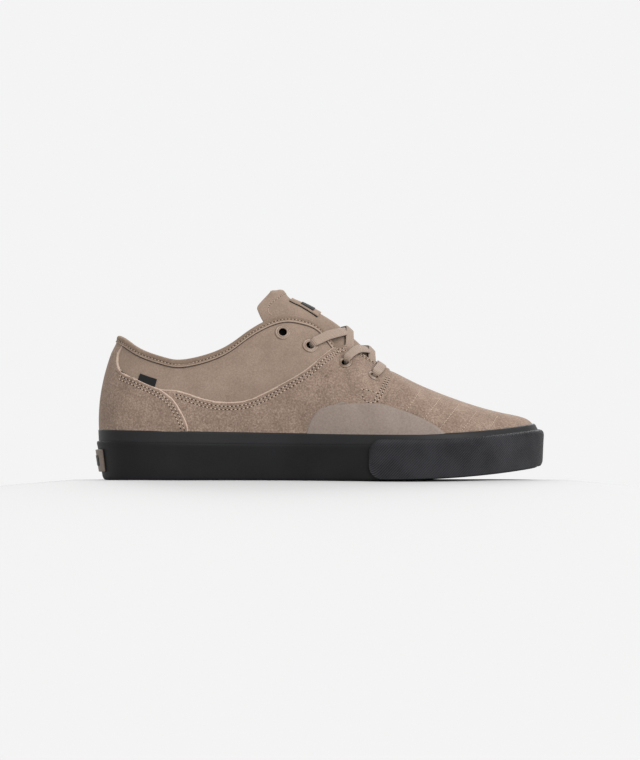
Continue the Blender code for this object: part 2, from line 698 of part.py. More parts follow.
def build_collar(material):
    """Padded cuff: an outer band, a rolled edge and a soft pad down the inside."""
    u = between(-COLLAR_END, COLLAR_END)
    pad = PAD * pad_share(u)[:, None]
    depth = np.maximum(PAD_DEPTH * pad_share(u), COLLAR_BAND)
    edge, out = wall(u, 1), wall_normal(u, 1)
    up = edge - wall(u, 0.98)
    up /= np.linalg.norm(up, axis=-1, keepdims=True)

    def inside(distance, more):
        v = v_below_top(u, distance)
        return wall(u, v) - (UPPER_WALL + SOFT_GAP + more) * wall_normal(u, v)

    v_band = v_below_top(u, COLLAR_BAND)
    band, band_out = wall(u, v_band), wall_normal(u, v_band)
    ring = [
        band + GAP * band_out,
        band + (GAP + BAND_WALL) * band_out,
        edge + (GAP + BAND_WALL) * out,
        edge + (GAP + ROLL) * up,
        edge + (GAP + ROLL * 0.8) * up - (UPPER_WALL + 0.45 * pad) * out,
        inside(0.12 * depth, pad),
        inside(0.5 * depth, pad),
        inside(0.85 * depth, 0.6 * pad),
        inside(depth, BAND_WALL),
        inside(depth, 0.0),
        inside(0.5 * depth, 0.0),
        edge - (UPPER_WALL + SOFT_GAP) * out + SOFT_GAP * up,
        edge + GAP * out + SOFT_GAP * up,
    ]
    return loft("collar", np.stack(ring, 1), material)


_tongue = np.array(TONGUE, float)
_tongue_curve = [steady_curve(range(len(_tongue)), _tongue[:, column]) for column in range(8)]


def ridge_y(x):
    """The throat's middle line across the foot, at a row-frame x."""
    return BALL_WIDTH * np.interp(share_along(x), TABLE[6:, 3], TABLE[6:, 6])


def tongue_face(row, across, lift=0.0):
    """Point of the tongue's outer face: row runs along its table, across from -1 (outer side) to 1."""
    row, across = np.broadcast_arrays(np.asarray(row, float), np.asarray(across, float))

    def face(r, w):
        x, z, half_width, drop, tilt = (curve(r) for curve in _tongue_curve[:5])
        fall = drop * BALL_WIDTH * w * w
        tilt = np.radians(tilt)
        middle = (x - 0.5) * SOLE_LENGTH
        return np.stack(
            [
                middle - fall * np.sin(tilt),
                ridge_y(middle) + half_width * BALL_WIDTH * w,
                SEAT_HEIGHT + z * INSTEP_RISE - fall * np.cos(tilt),
            ],
            -1,
        )

    small = 1e-3
    along = face(np.minimum(row + small, len(_tongue) - 1), across) - face(np.maximum(row - small, 0), across)
    sideways = face(row, across + small) - face(row, across - small)
    normal = np.cross(along, sideways)
    normal /= np.linalg.norm(normal, axis=-1, keepdims=True)
    away = np.stack([along[..., 2], 0 * along[..., 0], -along[..., 0]], -1)
    normal *= np.where(np.sum(normal * away, -1, keepdims=True) < 0, -1, 1)
    return face(row, across) + lift * normal, normal


def tongue_row(x):
    """Row of the tongue's table whose middle lies at a share of the sole's length."""
    rows = np.linspace(0, len(_tongue) - 1, 400)
    return float(np.interp(-x, -_tongue_curve[0](rows), rows))


def tongue_sheet(name, rows, across, low, high, material):
    """Solid between two distances from the tongue's outer face; each may be an array over rows and across."""
    row_grid, across_grid = np.meshgrid(rows, across, indexing="ij")
    faces = []
    for lift in (high, low):
        lift = np.broadcast_to(lift, row_grid.shape)
        point, normal = tongue_face(row_grid, across_grid)
        faces.append(point + lift[..., None] * normal)
    sections = [np.concatenate([top, bottom[::-1]]) for top, bottom in zip(*faces)]
    return loft(name, sections, material)


def build_tongue(material, label_material, plate_material):
    rows = np.arange(len(_tongue))
    across = np.sin(np.linspace(-1, 1, 11) * math.pi / 2)
    pad, front, back = (curve(rows)[:, None] for curve in _tongue_curve[5:])
    thickness = TONGUE_SKIN + TONGUE_PAD * pad * (1 - across**4)
    tongue_sheet("tongue", rows, across, -thickness * back, -thickness * front, material)
    label_rows = np.linspace(tongue_row(LABEL_FRONT), tongue_row(LABEL_BACK), 5)
    label_reach = LABEL_WIDTH / BALL_WIDTH / 2 / float(_tongue_curve[2](label_rows[2]))
    tongue_sheet(
        "tongue_label", label_rows, np.linspace(-label_reach, label_reach, 7), GAP, GAP + LABEL,
        label_material,
    )
    middle = label_rows.mean()
    plate_rows = np.linspace(middle - 0.28, middle + 0.28, 3)
    plate_reach = label_reach * PLATE_SHARE
    tongue_sheet(
        "tongue_plate", plate_rows, np.linspace(-plate_reach, plate_reach, 5), 2 * GAP + LABEL,
        2 * GAP + LABEL + PLATE, plate_material,
    )


def wall_place(x, z):
    """The wall's u and v on the outer side, under a point seen from the side."""
    u, v = np.meshgrid(np.linspace(3, 16, 131), np.linspace(0.2, 1, 81), indexing="ij")
    points = wall(u, v)
    nearest = np.unravel_index(np.hypot(points[..., 0] - x, points[..., 2] - z).argmin(), u.shape)
    place = np.array([u[nearest], v[nearest]])
    small = 1e-4
    for _ in range(6):
        here = wall(*place)[[0, 2]]
        slope_u = (wall(place[0] + small, place[1])[[0, 2]] - here) / small
        slope_v = (wall(place[0], place[1] - small)[[0, 2]] - here) / -small
        place = place + np.linalg.solve(np.stack([slope_u, slope_v], 1), np.array([x, z]) - here)
    return place


def eyelet_places():
    """u, v and the height of the outer skin over the wall, for each eyelet of both sides."""
    places = []
    for number, (x, z) in enumerate(EYELETS):
        u, v = wall_place(*side_point(x, z))
        skin = GAP + OVERLAY if number >= QUARTER_EYELETS else 0.0
        places += [(f"eyelet_lateral_{number + 1}", u, v, skin), (f"eyelet_medial_{number + 1}", LOOP - u, v, skin)]
    return places


def stand_on_wall(bm, u, v):
    """Turns a shape made along Z so that it stands on the wall."""
    turn = Vector(wall_normal(u, v)).to_track_quat("Z", "Y").to_matrix().to_4x4()
    bmesh.ops.transform(bm, matrix=Matrix.Translation(wall(u, v)) @ turn, verts=bm.verts)


def build_eyelets(material, panels, upper):
    bore = EYELET_HOLE / 2
    barrel = bore + EYELET_BARREL
    for name, u, v, skin in eyelet_places():
        seat = skin + 2 * GAP
        flange = (PANEL_FLANGE if skin else EYELET_FLANGE) / 2
        turned = [
            (bore, -UPPER_WALL - GAP), (barrel, -UPPER_WALL - GAP), (barrel, seat), (flange, seat),
            (flange, seat + FLANGE_LIFT / 2), ((flange + bore) / 2, seat + FLANGE_LIFT), (bore, seat + FLANGE_LIFT / 2),
        ]
        bm = bmesh.new()
        corners = [bm.verts.new((radius, 0, height)) for radius, height in turned]
        edges = [bm.edges.new((a, b)) for a, b in zip(corners, corners[1:] + corners[:1])]
        bmesh.ops.spin(
            bm, geom=corners + edges, angle=math.tau, steps=EYELET_SIDES, axis=(0, 0, 1), cent=(0, 0, 0),
            use_merge=True,
        )
        bmesh.ops.remove_doubles(bm, verts=bm.verts, dist=WELD)
        bmesh.ops.recalc_face_normals(bm, faces=bm.faces)
        stand_on_wall(bm, u, v)
        new_object(name, bm, material)
        hole = bmesh.new()
        bmesh.ops.create_cone(
            hole, cap_ends=True, segments=EYELET_SIDES, radius1=barrel + GAP, radius2=barrel + GAP,
            depth=6 * (UPPER_WALL + OVERLAY),
        )
        stand_on_wall(hole, u, v)
        cutter = guide(new_object(name + "_hole", hole, None))
        cut(upper, cutter)
        if skin:
            cut(panels[0 if "lateral" in name else 1], cutter)


def lace_strip(name, stops, material):
    """Flat lace through stops, each a point and the outward normal there."""
    places = np.array([stop[0] for stop in stops])
    normals = np.array([stop[1] for stop in stops])
    run = np.concatenate([[0], np.cumsum(np.linalg.norm(np.diff(places, axis=0), axis=1))])
    at = np.linspace(0, run[-1], LACE_STEPS)
    path = np.stack([steady_curve(run, places[:, k])(at) for k in range(3)], -1)
    out = np.stack([steady_curve(run, normals[:, k])(at) for k in range(3)], -1)
    out /= np.linalg.norm(out, axis=1, keepdims=True)
    forward = np.gradient(path, axis=0)
    side = np.cross(forward, out)
    side /= np.linalg.norm(side, axis=1, keepdims=True)
    half, thick = LACE_WIDTH / 2, LACE / 2
    shape = ((-half, -thick * 0.4), (-half, thick * 0.4), (-half * 0.7, thick), (half * 0.7, thick),
             (half, thick * 0.4), (half, -thick * 0.4), (half * 0.7, -thick), (-half * 0.7, -thick))
    return loft(name, [[p + a * s + b * o for a, b in shape] for p, s, o in zip(path, side, out)], material)


def on_wall(u, v, lift):
    normal = wall_normal(u, v)
    return wall(u, v) + lift * normal, normal


def mirrored(u, side):
    return u if side < 0 else LOOP - u


def build_laces(material):
    skin = GAP + OVERLAY
    rest = LACE / 2 + LACE_LIFT
    u4, v4 = wall_place(*side_point(*EYELETS[3]))
    bar_row = tongue_row(LACE_BAR_X)
    v_bar = 1 - 0.35 * (1 - v4)
    stops = []
    for side in (-1, 1):
        ends = [
            on_wall(mirrored((u4 + LACE_BAR_ROW) / 2, side), v_bar, skin + rest + BAR_LIFT),
            on_wall(mirrored(LACE_BAR_ROW, side), 0.995, skin + rest + BAR_LIFT),
        ]
        stops += [*ends, tongue_face(bar_row, 0.0, rest)] if side < 0 else ends[::-1]
    lace_strip("lace_bar", stops, material)
    for name, start, leave, skin_here, cross_x, dive_x, reach in LACE_CROSSES:
        strips = []
        for side in (-1, 1):
            u, v = wall_place(*side_point(*start))
            row, dive = tongue_row(cross_x), tongue_row(dive_x)
            stops = [
                on_wall(mirrored(u, side), v, skin_here + rest),
                on_wall(mirrored(leave, side), 0.995, skin_here + rest + EDGE_LIFT),
                tongue_face(row, 0.0, rest + (LACE * 0.9 if side < 0 else 0.0)),
                tongue_face(dive, -side * reach, rest),
            ]
            strips.append(lace_strip(name if side < 0 else name + "_other", stops, material))
        guide(strips[1])
        cut(strips[0], strips[1], "UNION")


def build():
    for item in list(bpy.data.objects):
        bpy.data.objects.remove(item)
    rubber = new_material("black outsole rubber", (0.014, 0.014, 0.016), 0.6)
    tape = new_material("black foxing rubber", (0.023, 0.023, 0.025), 0.55)
    suede = new_material("tan suede", (0.35, 0.28, 0.225), 0.95)
    lining = new_material("tan padded lining", (0.34, 0.27, 0.22), 0.95)
    coated = new_material("coated grip patch", (0.33, 0.29, 0.26), 0.8)
    foam = new_material("black insole cloth", (0.02, 0.02, 0.022), 0.9)
    cord = new_material("tan flat lace", (0.36, 0.29, 0.235), 0.9)
    paint = new_material("tan painted eyelet", (0.40, 0.33, 0.27), 0.45)
    black = new_material("black woven tag", (0.012, 0.012, 0.014), 0.7)
    build_outsole(rubber)
    build_foxing(tape)
    build_bumper(tape)
    heel_plate("heel_badge", BADGE_WIDTH / 2, BADGE_LOW, BADGE_HIGH, GAP, BADGE, suede)
    heel_plate(
        "heel_badge_inlay", INLAY_WIDTH / 2, INLAY_LOW, INLAY_HIGH, 2 * GAP + BADGE, INLAY, black
    )
    build_insole(foam)
    upper = build_upper(suede)
    panels = build_overlays(suede, coated, black)
    build_collar(lining)
    build_tongue(suede, suede, black)
    build_eyelets(paint, panels, upper)
    build_laces(cord)


build()
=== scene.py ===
import math

import bmesh
import bpy
import numpy as np
from mathutils import Matrix, Vector


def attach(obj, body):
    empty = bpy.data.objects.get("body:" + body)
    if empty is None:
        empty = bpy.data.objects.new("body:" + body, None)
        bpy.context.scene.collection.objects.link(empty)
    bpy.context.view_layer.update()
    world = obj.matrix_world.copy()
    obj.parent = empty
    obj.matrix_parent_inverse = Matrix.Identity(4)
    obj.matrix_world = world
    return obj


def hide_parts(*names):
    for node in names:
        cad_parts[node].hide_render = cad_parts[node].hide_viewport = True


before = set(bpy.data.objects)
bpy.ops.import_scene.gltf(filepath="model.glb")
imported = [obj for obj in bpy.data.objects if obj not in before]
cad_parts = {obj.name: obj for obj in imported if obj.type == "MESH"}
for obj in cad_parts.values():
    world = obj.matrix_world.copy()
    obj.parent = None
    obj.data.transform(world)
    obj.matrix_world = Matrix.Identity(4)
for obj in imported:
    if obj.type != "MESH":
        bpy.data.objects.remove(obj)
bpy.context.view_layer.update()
mm = 0.001
rows = 21  # table rows from the heel's back to the toe's tip
loop = 2 * rows  # places around the shoe: up its outer side to the toe and back along its inner side
throatRow = 15  # from here on the two sides meet in a ridge
# each side of the shoe: its name, whether it is the inner one, and the turn of its paths
sides = (("lateral", False, 1.0), ("medial", True, -1.0))

last = {
    "soleLength": 298.2 * mm,
    "ballWidth": 105.0 * mm,
    "seatHeight": 34.0 * mm,  # ground to the foxing's top at the heel
    "instepRise": 77.0 * mm,
    "toeSpring": 8.6 * mm,
    "springStart": 0.637,
    "springPower": 2.13,
    "slabHeel": 21.0 * mm,
    "slabBall": 15.0 * mm,
    "slabFall": (0.30, 0.40),  # share of the length where the slab starts to thin, and the share it takes
    "roundRows": (12.5, 1.5),  # row where collar and throat end as one round line, and the rows of the change
    "seat": 0.3 * mm,  # upper over the slab
    "upperWall": 2.0 * mm,
    "upperInset": 4.3 * mm,  # from the sole's widest line in to the upper
}

# x and y are shares of the sole's length and width, topZ a share of the instep's rise over the seat
sections = (
    # soleX, outerY, innerY, topX, halfGap, topZ, axisY, lean, rise, reach, drop, plan
    (0.000, 0.000, 0.000, 0.0510, 0.000, 0.791, 0.010, 9.5, 0.39, 0.30, 67, 180),
    (0.0175, 0.184, 0.180, 0.0640, 0.115, 0.764, 0.010, 9.0, 0.38, 0.30, 70, 152),
    (0.065, 0.316, 0.307, 0.0990, 0.212, 0.676, 0.010, 8.0, 0.36, 0.30, 76, 122),
    (0.134, 0.368, 0.352, 0.1500, 0.268, 0.606, 0.010, 7.0, 0.35, 0.30, 82, 99),
    (0.215, 0.377, 0.345, 0.2000, 0.294, 0.5865, 0.010, 6.5, 0.34, 0.30, 84, 91),
    (0.295, 0.375, 0.320, 0.2800, 0.300, 0.676, 0.012, 6.0, 0.34, 0.31, 83, 90),
    (0.369, 0.383, 0.303, 0.3370, 0.290, 0.822, 0.016, 6.0, 0.35, 0.32, 79, 90),
    (0.433, 0.398, 0.304, 0.3870, 0.264, 0.932, 0.020, 6.0, 0.36, 0.33, 72, 90),
    (0.486, 0.419, 0.317, 0.4290, 0.236, 0.970, 0.024, 6.0, 0.38, 0.34, 64, 90),
    (0.533, 0.441, 0.339, 0.4680, 0.211, 0.942, 0.027, 6.0, 0.40, 0.34, 57, 90),
    (0.573, 0.461, 0.364, 0.5030, 0.196, 0.862, 0.030, 6.0, 0.42, 0.34, 52, 90),
    (0.610, 0.478, 0.390, 0.5370, 0.202, 0.704, 0.033, 6.0, 0.44, 0.35, 49, 90),
    (0.647, 0.491, 0.418, 0.5650, 0.165, 0.712, 0.035, 6.0, 0.48, 0.36, 40, 90),
    (0.684, 0.499, 0.443, 0.6140, 0.124, 0.594, 0.038, 6.0, 0.52, 0.38, 28, 90),
    (0.721, 0.500, 0.465, 0.6490, 0.075, 0.522, 0.040, 6.0, 0.54, 0.42, 14, 90),
    (0.761, 0.491, 0.480, 0.6660, 0.000, 0.498, 0.042, 6.0, 0.55, 0.45, 0, 90),
    (0.808, 0.469, 0.485, 0.7270, 0.000, 0.382, 0.045, 6.0, 0.58, 0.46, 0, 90),
    (0.8585, 0.425, 0.470, 0.7880, 0.000, 0.286, 0.048, 6.0, 0.62, 0.47, 0, 90),
    (0.9085, 0.358, 0.430, 0.8420, 0.000, 0.213, 0.052, 5.5, 0.68, 0.46, 2, 84),
    (0.9525, 0.263, 0.362, 0.8780, 0.000, 0.171, 0.055, 5.0, 0.76, 0.46, 5, 66),
    (0.986, 0.133, 0.252, 0.9020, 0.000, 0.147, 0.057, 4.5, 0.82, 0.52, 9, 37),
    (1.000, -0.055, 0.055, 0.9120, 0.000, 0.139, 0.058, 4.0, 0.84, 0.60, 11, 0),
)

# heights along the sole, as shares of its length and of the seat's height
soleLevels = (
    # x, foxingTop, tierTop
    (0.00, 0.990, 0.765),
    (0.10, 0.975, 0.750),
    (0.25, 0.955, 0.730),
    (0.45, 0.925, 0.712),
    (0.60, 0.905, 0.708),
    (0.72, 0.900, 0.730),
    (0.82, 0.935, 0.773),
    (0.90, 0.990, 0.835),
    (0.96, 1.050, 0.894),
    (1.00, 1.105, 0.938),
)


# the shoe's own surfaces


def closedSpline(values):  # cubic through values at 0, 1, 2 ... that closes on itself
    y = np.asarray(values, float)
    n = len(y)
    system = 4 * np.eye(n) + np.roll(np.eye(n), 1, axis=1) + np.roll(np.eye(n), -1, axis=1)
    bend = np.linalg.solve(system, 6 * (np.roll(y, -1) - 2 * y + np.roll(y, 1)))

    def at(u):
        u = np.mod(np.asarray(u, float), n)
        i = np.floor(u).astype(int) % n
        j = (i + 1) % n
        b = u - np.floor(u)
        a = 1 - b
        return a * y[i] + b * y[j] + ((a**3 - a) * bend[i] + (b**3 - b) * bend[j]) / 6

    return at


def steadyCurve(xs, values):  # cubic that never overshoots its points
    x, y = np.asarray(xs, float), np.asarray(values, float)
    step = np.diff(x).reshape((-1,) + (1,) * (y.ndim - 1))
    slope = np.diff(y, axis=0) / step
    tangent = np.zeros_like(y)
    tangent[0], tangent[-1] = slope[0], slope[-1]
    before, after = slope[:-1], slope[1:]
    w1, w2 = 2 * step[1:] + step[:-1], step[1:] + 2 * step[:-1]
    same = before * after > 0
    mean = np.where(same, w1 / np.where(same, before, 1) + w2 / np.where(same, after, 1), 1)
    tangent[1:-1] = np.where(same, (w1 + w2) / mean, 0)

    def at(u):
        u = np.clip(np.asarray(u, float), x[0], x[-1])
        i = np.clip(np.searchsorted(x, u, side="right") - 1, 0, len(x) - 2)
        h = (x[i + 1] - x[i]).reshape(u.shape + (1,) * (y.ndim - 1))
        t = (u - x[i]).reshape(u.shape + (1,) * (y.ndim - 1)) / h
        return (
            (2 * t**3 - 3 * t**2 + 1) * y[i]
            + (t**3 - 2 * t**2 + t) * h * tangent[i]
            + (3 * t**2 - 2 * t**3) * y[i + 1]
            + (t**3 - t**2) * h * tangent[i + 1]
        )

    return at


def runAlong(points):  # length along a line of points, from 0 at its start
    return np.concatenate([[0], np.cumsum(np.linalg.norm(np.diff(points, axis=0), axis=1))])


def onSide(u, inner):  # place on the loop that mirrors u on the inner side
    return loop - u if inner else u


def folded(u):  # table row for a place on the loop, and +1 on the inner side or -1 on the outer
    u = np.mod(np.asarray(u, float), loop)
    return np.where(u <= rows, u, loop - u), np.where(u <= rows, -1.0, 1.0)


sectionTable = np.array(sections, float)
levelTable = np.array(soleLevels, float)
outlineX = closedSpline([*sectionTable[:, 0], *sectionTable[-2:0:-1, 0]])
outlineY = closedSpline([*-sectionTable[:, 1], *sectionTable[-2:0:-1, 2]])
steadyTop = steadyCurve(range(rows + 1), sectionTable[:, 3:])
roundTop = []
for k, turn in enumerate((1, -1, 1)):
    column = sectionTable[:, 3 + k]
    roundTop.append((closedSpline([*(turn * column), *column[-2:0:-1]]), turn))


def topCurve(row):  # the round line of collar and throat, and the steady values of the ridge ahead of it
    values = steadyTop(row)
    start, length = last["roundRows"]
    share = np.clip((np.asarray(row, float) - start) / length, 0, 1)
    for k, (curve, turn) in enumerate(roundTop):
        values[..., k] = values[..., k] * share + turn * curve(row) * (1 - share)
    return values


levelCurve = steadyCurve(levelTable[:, 0], levelTable[:, 1:])


def shareAlong(x):
    return np.clip(x / last["soleLength"] + 0.5, 0, 1)


def soleBottom(x):
    past = (shareAlong(x) - last["springStart"]) / (1 - last["springStart"])
    return last["toeSpring"] * np.clip(past, 0, 1) ** last["springPower"]


def slabTop(x):
    start, length = last["slabFall"]
    blend = np.clip((shareAlong(x) - start) / length, 0, 1)
    blend = blend * blend * (3 - 2 * blend)
    return soleBottom(x) + last["slabHeel"] + (last["slabBall"] - last["slabHeel"]) * blend


def foxingTop(x):
    return last["seatHeight"] * levelCurve(shareAlong(x))[..., 0]


def tierTop(x):
    return last["seatHeight"] * levelCurve(shareAlong(x))[..., 1]


def outline(u, inset=0.0):  # points of the sole's widest line, drawn in by inset, and its normals
    u = np.asarray(u, float)
    small = 1e-3
    x = (outlineX(u) - 0.5) * last["soleLength"]
    y = outlineY(u) * last["ballWidth"]
    alongX = (outlineX(u + small) - outlineX(u - small)) * last["soleLength"]
    alongY = (outlineY(u + small) - outlineY(u - small)) * last["ballWidth"]
    length = np.hypot(alongX, alongY)
    outX, outY = alongY / length, -alongX / length
    return x - inset * outX, y - inset * outY, outX, outY


def outwardAt(u):  # level normals of the sole's widest line
    _, _, outX, outY = outline(u)
    return np.stack([outX, outY, 0 * outX], -1)


def wallPoint(u, v):  # the upper's outer face: v is 0 at its bottom edge and 1 at its top edge or ridge
    u, v = np.broadcast_arrays(np.asarray(u, float), np.asarray(v, float))
    row, side = folded(u)
    topX, halfGap, topZ, axisY, lean, rise, reach, drop, plan = np.moveaxis(topCurve(row), -1, 0)
    bottomX, bottomY, outX, outY = outline(u, last["upperInset"])
    bottom = np.stack([bottomX, bottomY, slabTop(bottomX) + last["seat"]], -1)
    top = np.stack(
        [
            (topX - 0.5) * last["soleLength"],
            (axisY + side * halfGap) * last["ballWidth"],
            last["seatHeight"] + topZ * last["instepRise"],
        ],
        -1,
    )
    lean, drop, plan = np.radians(lean), np.radians(drop), np.radians(plan)
    leaving = [np.cos(plan) * np.cos(drop), side * np.sin(plan) * np.cos(drop), -np.sin(drop)]
    height = top[..., 2:] - bottom[..., 2:]
    span = np.linalg.norm(top - bottom, axis=-1, keepdims=True)
    swell = np.stack([outX, outY, 0 * outX], -1) * np.tan(lean)[..., None]
    lower = bottom + rise[..., None] * height * (np.array([0, 0, 1]) + swell)
    upper = top + reach[..., None] * span * np.stack(leaving, -1)
    t = v[..., None]
    s = 1 - t
    return s**3 * bottom + 3 * s * s * t * lower + 3 * s * t * t * upper + t**3 * top


def wallNormal(u, v):
    u, v = np.broadcast_arrays(np.asarray(u, float), np.asarray(v, float))
    small = 1e-3
    across = wallPoint(u + small, v) - wallPoint(u - small, v)
    ridge = (v > 1 - 1e-6) & (folded(u)[0] >= throatRow)
    across = np.where(ridge[..., None], np.array([1.0, 0.0, 0.0]), across)
    up = wallPoint(u, np.minimum(v + small, 1)) - wallPoint(u, np.maximum(v - small, 0))
    normal = np.cross(across, up)
    facing = np.where(ridge & (normal[..., 2] < 0), -1.0, 1.0)
    return normal * facing[..., None] / np.linalg.norm(normal, axis=-1, keepdims=True)


def vAtHeight(u, z):
    v = np.linspace(0, 1, 97)
    u, z = np.broadcast_arrays(np.asarray(u, float), np.asarray(z, float))
    lines = wallPoint(u[..., None], v)
    found = [np.interp(h, line[:, 2], v) for h, line in zip(z.ravel(), lines.reshape(-1, 97, 3))]
    return np.array(found).reshape(u.shape)


def vBelowTop(u, distance):  # share of the way up at a distance below the top edge, along the wall
    v = np.linspace(0, 1, 97)
    u, distance = np.broadcast_arrays(np.asarray(u, float), np.asarray(distance, float))
    lines = wallPoint(u[..., None], v).reshape(-1, 97, 3)
    found = []
    for line, down in zip(lines, distance.ravel()):
        run = runAlong(line)
        found.append(np.interp(run[-1] - down, run, v))
    return np.array(found).reshape(u.shape)


def nearWall(points, u, v, seen=(1, 1, 1), turns=6):
    # the wall's u and v nearest to points, from a guess, along the axes that are seen
    small = 1e-4
    seen = np.array(seen, float)
    for _ in range(turns):
        here = wallPoint(u, v)
        alongU = (wallPoint(u + small, v) - here) / small * seen
        alongV = (wallPoint(u, v - small) - here) / -small * seen
        left = (points - here) * seen
        a, b, c = (np.sum(p * q, -1) for p, q in ((alongU, alongU), (alongU, alongV), (alongV, alongV)))
        p, q = np.sum(alongU * left, -1), np.sum(alongV * left, -1)
        det = a * c - b * b + 1e-18
        u = u + np.clip((c * p - b * q) / det, -0.5, 0.5)
        v = np.clip(v + np.clip((a * q - b * p) / det, -0.1, 0.1), 0, 1)
    return u, v


def sidePath(stops, inner=False, count=0):  # wall's u, v under (mm from the heel, mm over the ground) stops
    stops = np.array(stops, float) * mm
    if count:
        run = runAlong(stops)
        stops = steadyCurve(run, stops)(np.linspace(0, run[-1], count))
        for _ in range(10):  # takes the small wobbles out of the measured line
            stops[1:-1] = (stops[:-2] + 2 * stops[1:-1] + stops[2:]) / 4
    seen = np.stack([stops[:, 0] - last["soleLength"] / 2, 0 * stops[:, 0], stops[:, 1]], -1)
    u, v = np.meshgrid(np.linspace(0.3, 20, 240), np.linspace(0.05, 1, 96), indexing="ij")  # first guesses
    u = onSide(u, inner)
    grid = wallPoint(u, v)[..., [0, 2]].reshape(-1, 2)
    nearest = [np.hypot(*(grid - p[[0, 2]]).T).argmin() for p in seen]
    return np.array(nearWall(seen, u.ravel()[nearest], v.ravel()[nearest], seen=(1, 0, 1)))


def evenly(path):  # the path's u and v for a share of its length on the wall
    u, v = path
    run = runAlong(wallPoint(u, v))
    run = run / max(run[-1], 1e-9)
    return lambda share: np.stack([np.interp(share, run, u), np.interp(share, run, v)], -1)


def crowded(count):  # shares from 0 to 1, closer together towards both ends
    t = np.linspace(0, 1, count)
    return t - 0.8 * np.sin(math.tau * t) / math.tau


def betweenEdges(bottom, top, left, right, columns, rowsUp):  # u, v grid stretched between four edges
    s, t = crowded(columns), crowded(rowsUp)
    b, a = evenly(bottom)(s)[:, None], evenly(top)(s)[:, None]
    l, r = evenly(left)(t)[None], evenly(right)(t)[None]
    s, t = s[:, None, None], t[None, :, None]
    corners = (1 - s) * (1 - t) * b[0] + s * (1 - t) * b[-1] + (1 - s) * t * a[0] + s * t * a[-1]
    return np.moveaxis((1 - t) * b + t * a + (1 - s) * l + s * r - corners, -1, 0)


def shifted(path, distance):  # the path moved sideways on the wall, to its left as seen from outside
    u, v = path
    points, normals = wallPoint(u, v), wallNormal(u, v)
    forward = np.gradient(points, axis=0)
    side = np.cross(normals, forward)
    side /= np.linalg.norm(side, axis=-1, keepdims=True)
    return np.array(nearWall(points + distance * side, u, v))


# making pieces


def gridPiece(name, points, finish, facing=None, zones=None, sharp=40, keep=None, close=False):
    n, m = points.shape[:2]
    bm = bmesh.new()
    uvLayer = bm.loops.layers.uv.new("UVMap")
    bmesh.ops.create_grid(bm, x_segments=n - 1, y_segments=m - 1, size=1)
    run = np.cumsum(np.linalg.norm(np.diff(points, axis=0), axis=-1).mean(1))
    rise = np.cumsum(np.linalg.norm(np.diff(points, axis=1), axis=-1).mean(0))
    run, rise = np.concatenate([[0], run]), np.concatenate([[0], rise])
    place = {v: (round((v.co.x + 1) / 2 * (n - 1)), round((v.co.y + 1) / 2 * (m - 1))) for v in bm.verts}
    for face in bm.faces:
        for corner in face.loops:
            i, j = place[corner.vert]
            corner[uvLayer].uv = (run[i], rise[j])
        if zones:
            i = sum(place[v][0] for v in face.verts) / 4
            j = sum(place[v][1] for v in face.verts) / 4
            face.material_index = int(zones(i / (n - 1), j / (m - 1)))
    for vert, (i, j) in place.items():
        vert.co = points[i, j]
    bm.normal_update()
    if facing is not None:
        agree = 0.0
        for face in bm.faces:
            agree += face.normal.dot(Vector(facing[place[face.verts[0]]]))
        if agree < 0:
            bmesh.ops.reverse_faces(bm, faces=bm.faces)
    if keep is not None:
        gone = [face for face in bm.faces if not keep(face.calc_center_median())]
        bmesh.ops.delete(bm, geom=gone, context="FACES")
    bmesh.ops.remove_doubles(bm, verts=bm.verts, dist=0.002 * mm)
    bmesh.ops.dissolve_degenerate(bm, edges=bm.edges, dist=0.001 * mm)
    if close:
        bmesh.ops.holes_fill(bm, edges=[edge for edge in bm.edges if edge.is_boundary], sides=0)
    if facing is None:
        bmesh.ops.recalc_face_normals(bm, faces=bm.faces)
    return finishPiece(name, bm, finish, sharp)


def finishPiece(name, bm, finish, sharp=40):
    mesh = bpy.data.meshes.new(name)
    bm.to_mesh(mesh)
    bm.free()
    mesh.shade_smooth()
    mesh.set_sharp_from_angle(angle=math.radians(sharp))
    for material in finish:
        mesh.materials.append(material)
    piece = bpy.data.objects.new(name, mesh)
    bpy.context.collection.objects.link(piece)
    return piece


def thicken(piece, thickness, outward, inside=0, rim=0):
    wall = piece.modifiers.new("Wall", "SOLIDIFY")
    wall.thickness = thickness
    wall.offset = 1 if outward else -1
    wall.use_even_offset = False
    wall.material_offset = inside
    wall.material_offset_rim = rim
    return piece


def roundEdges(piece, width, steps=2, angle=50):
    rounding = piece.modifiers.new("Rounding", "BEVEL")
    rounding.width = width
    rounding.segments = steps
    rounding.limit_method = "ANGLE"
    rounding.angle_limit = math.radians(angle)
    rounding.use_clamp_overlap = True
    rounding.harden_normals = False
    return piece


def stand(piece, slot, *nodes):
    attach(piece, "root")
    if nodes:
        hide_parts(*nodes)
    return piece


def standing(place, normal, forward):  # matrix that stands a shape on a point of a surface
    normal = Vector(normal).normalized()
    forward = (Vector(forward) - Vector(forward).dot(normal) * normal).normalized()
    side = normal.cross(forward)
    turn = Matrix((forward, side, normal)).transposed().to_4x4()
    return Matrix.Translation(Vector(place)) @ turn


def distanceTo(points, path):  # from each point to the nearest of the path's points
    shape = points.shape[:-1]
    flat = points.reshape(-1, 3)
    square = (flat**2).sum(1)[:, None] + (path**2).sum(1)[None] - 2 * flat @ path.T
    return np.sqrt(np.maximum(square.min(1), 0)).reshape(shape)


# materials


def hexColour(code):  # sRGB hex to linear
    parts = [int(code[i : i + 2], 16) / 255 for i in (1, 3, 5)]
    return (*[p / 12.92 if p <= 0.04045 else ((p + 0.055) / 1.055) ** 2.4 for p in parts], 1.0)


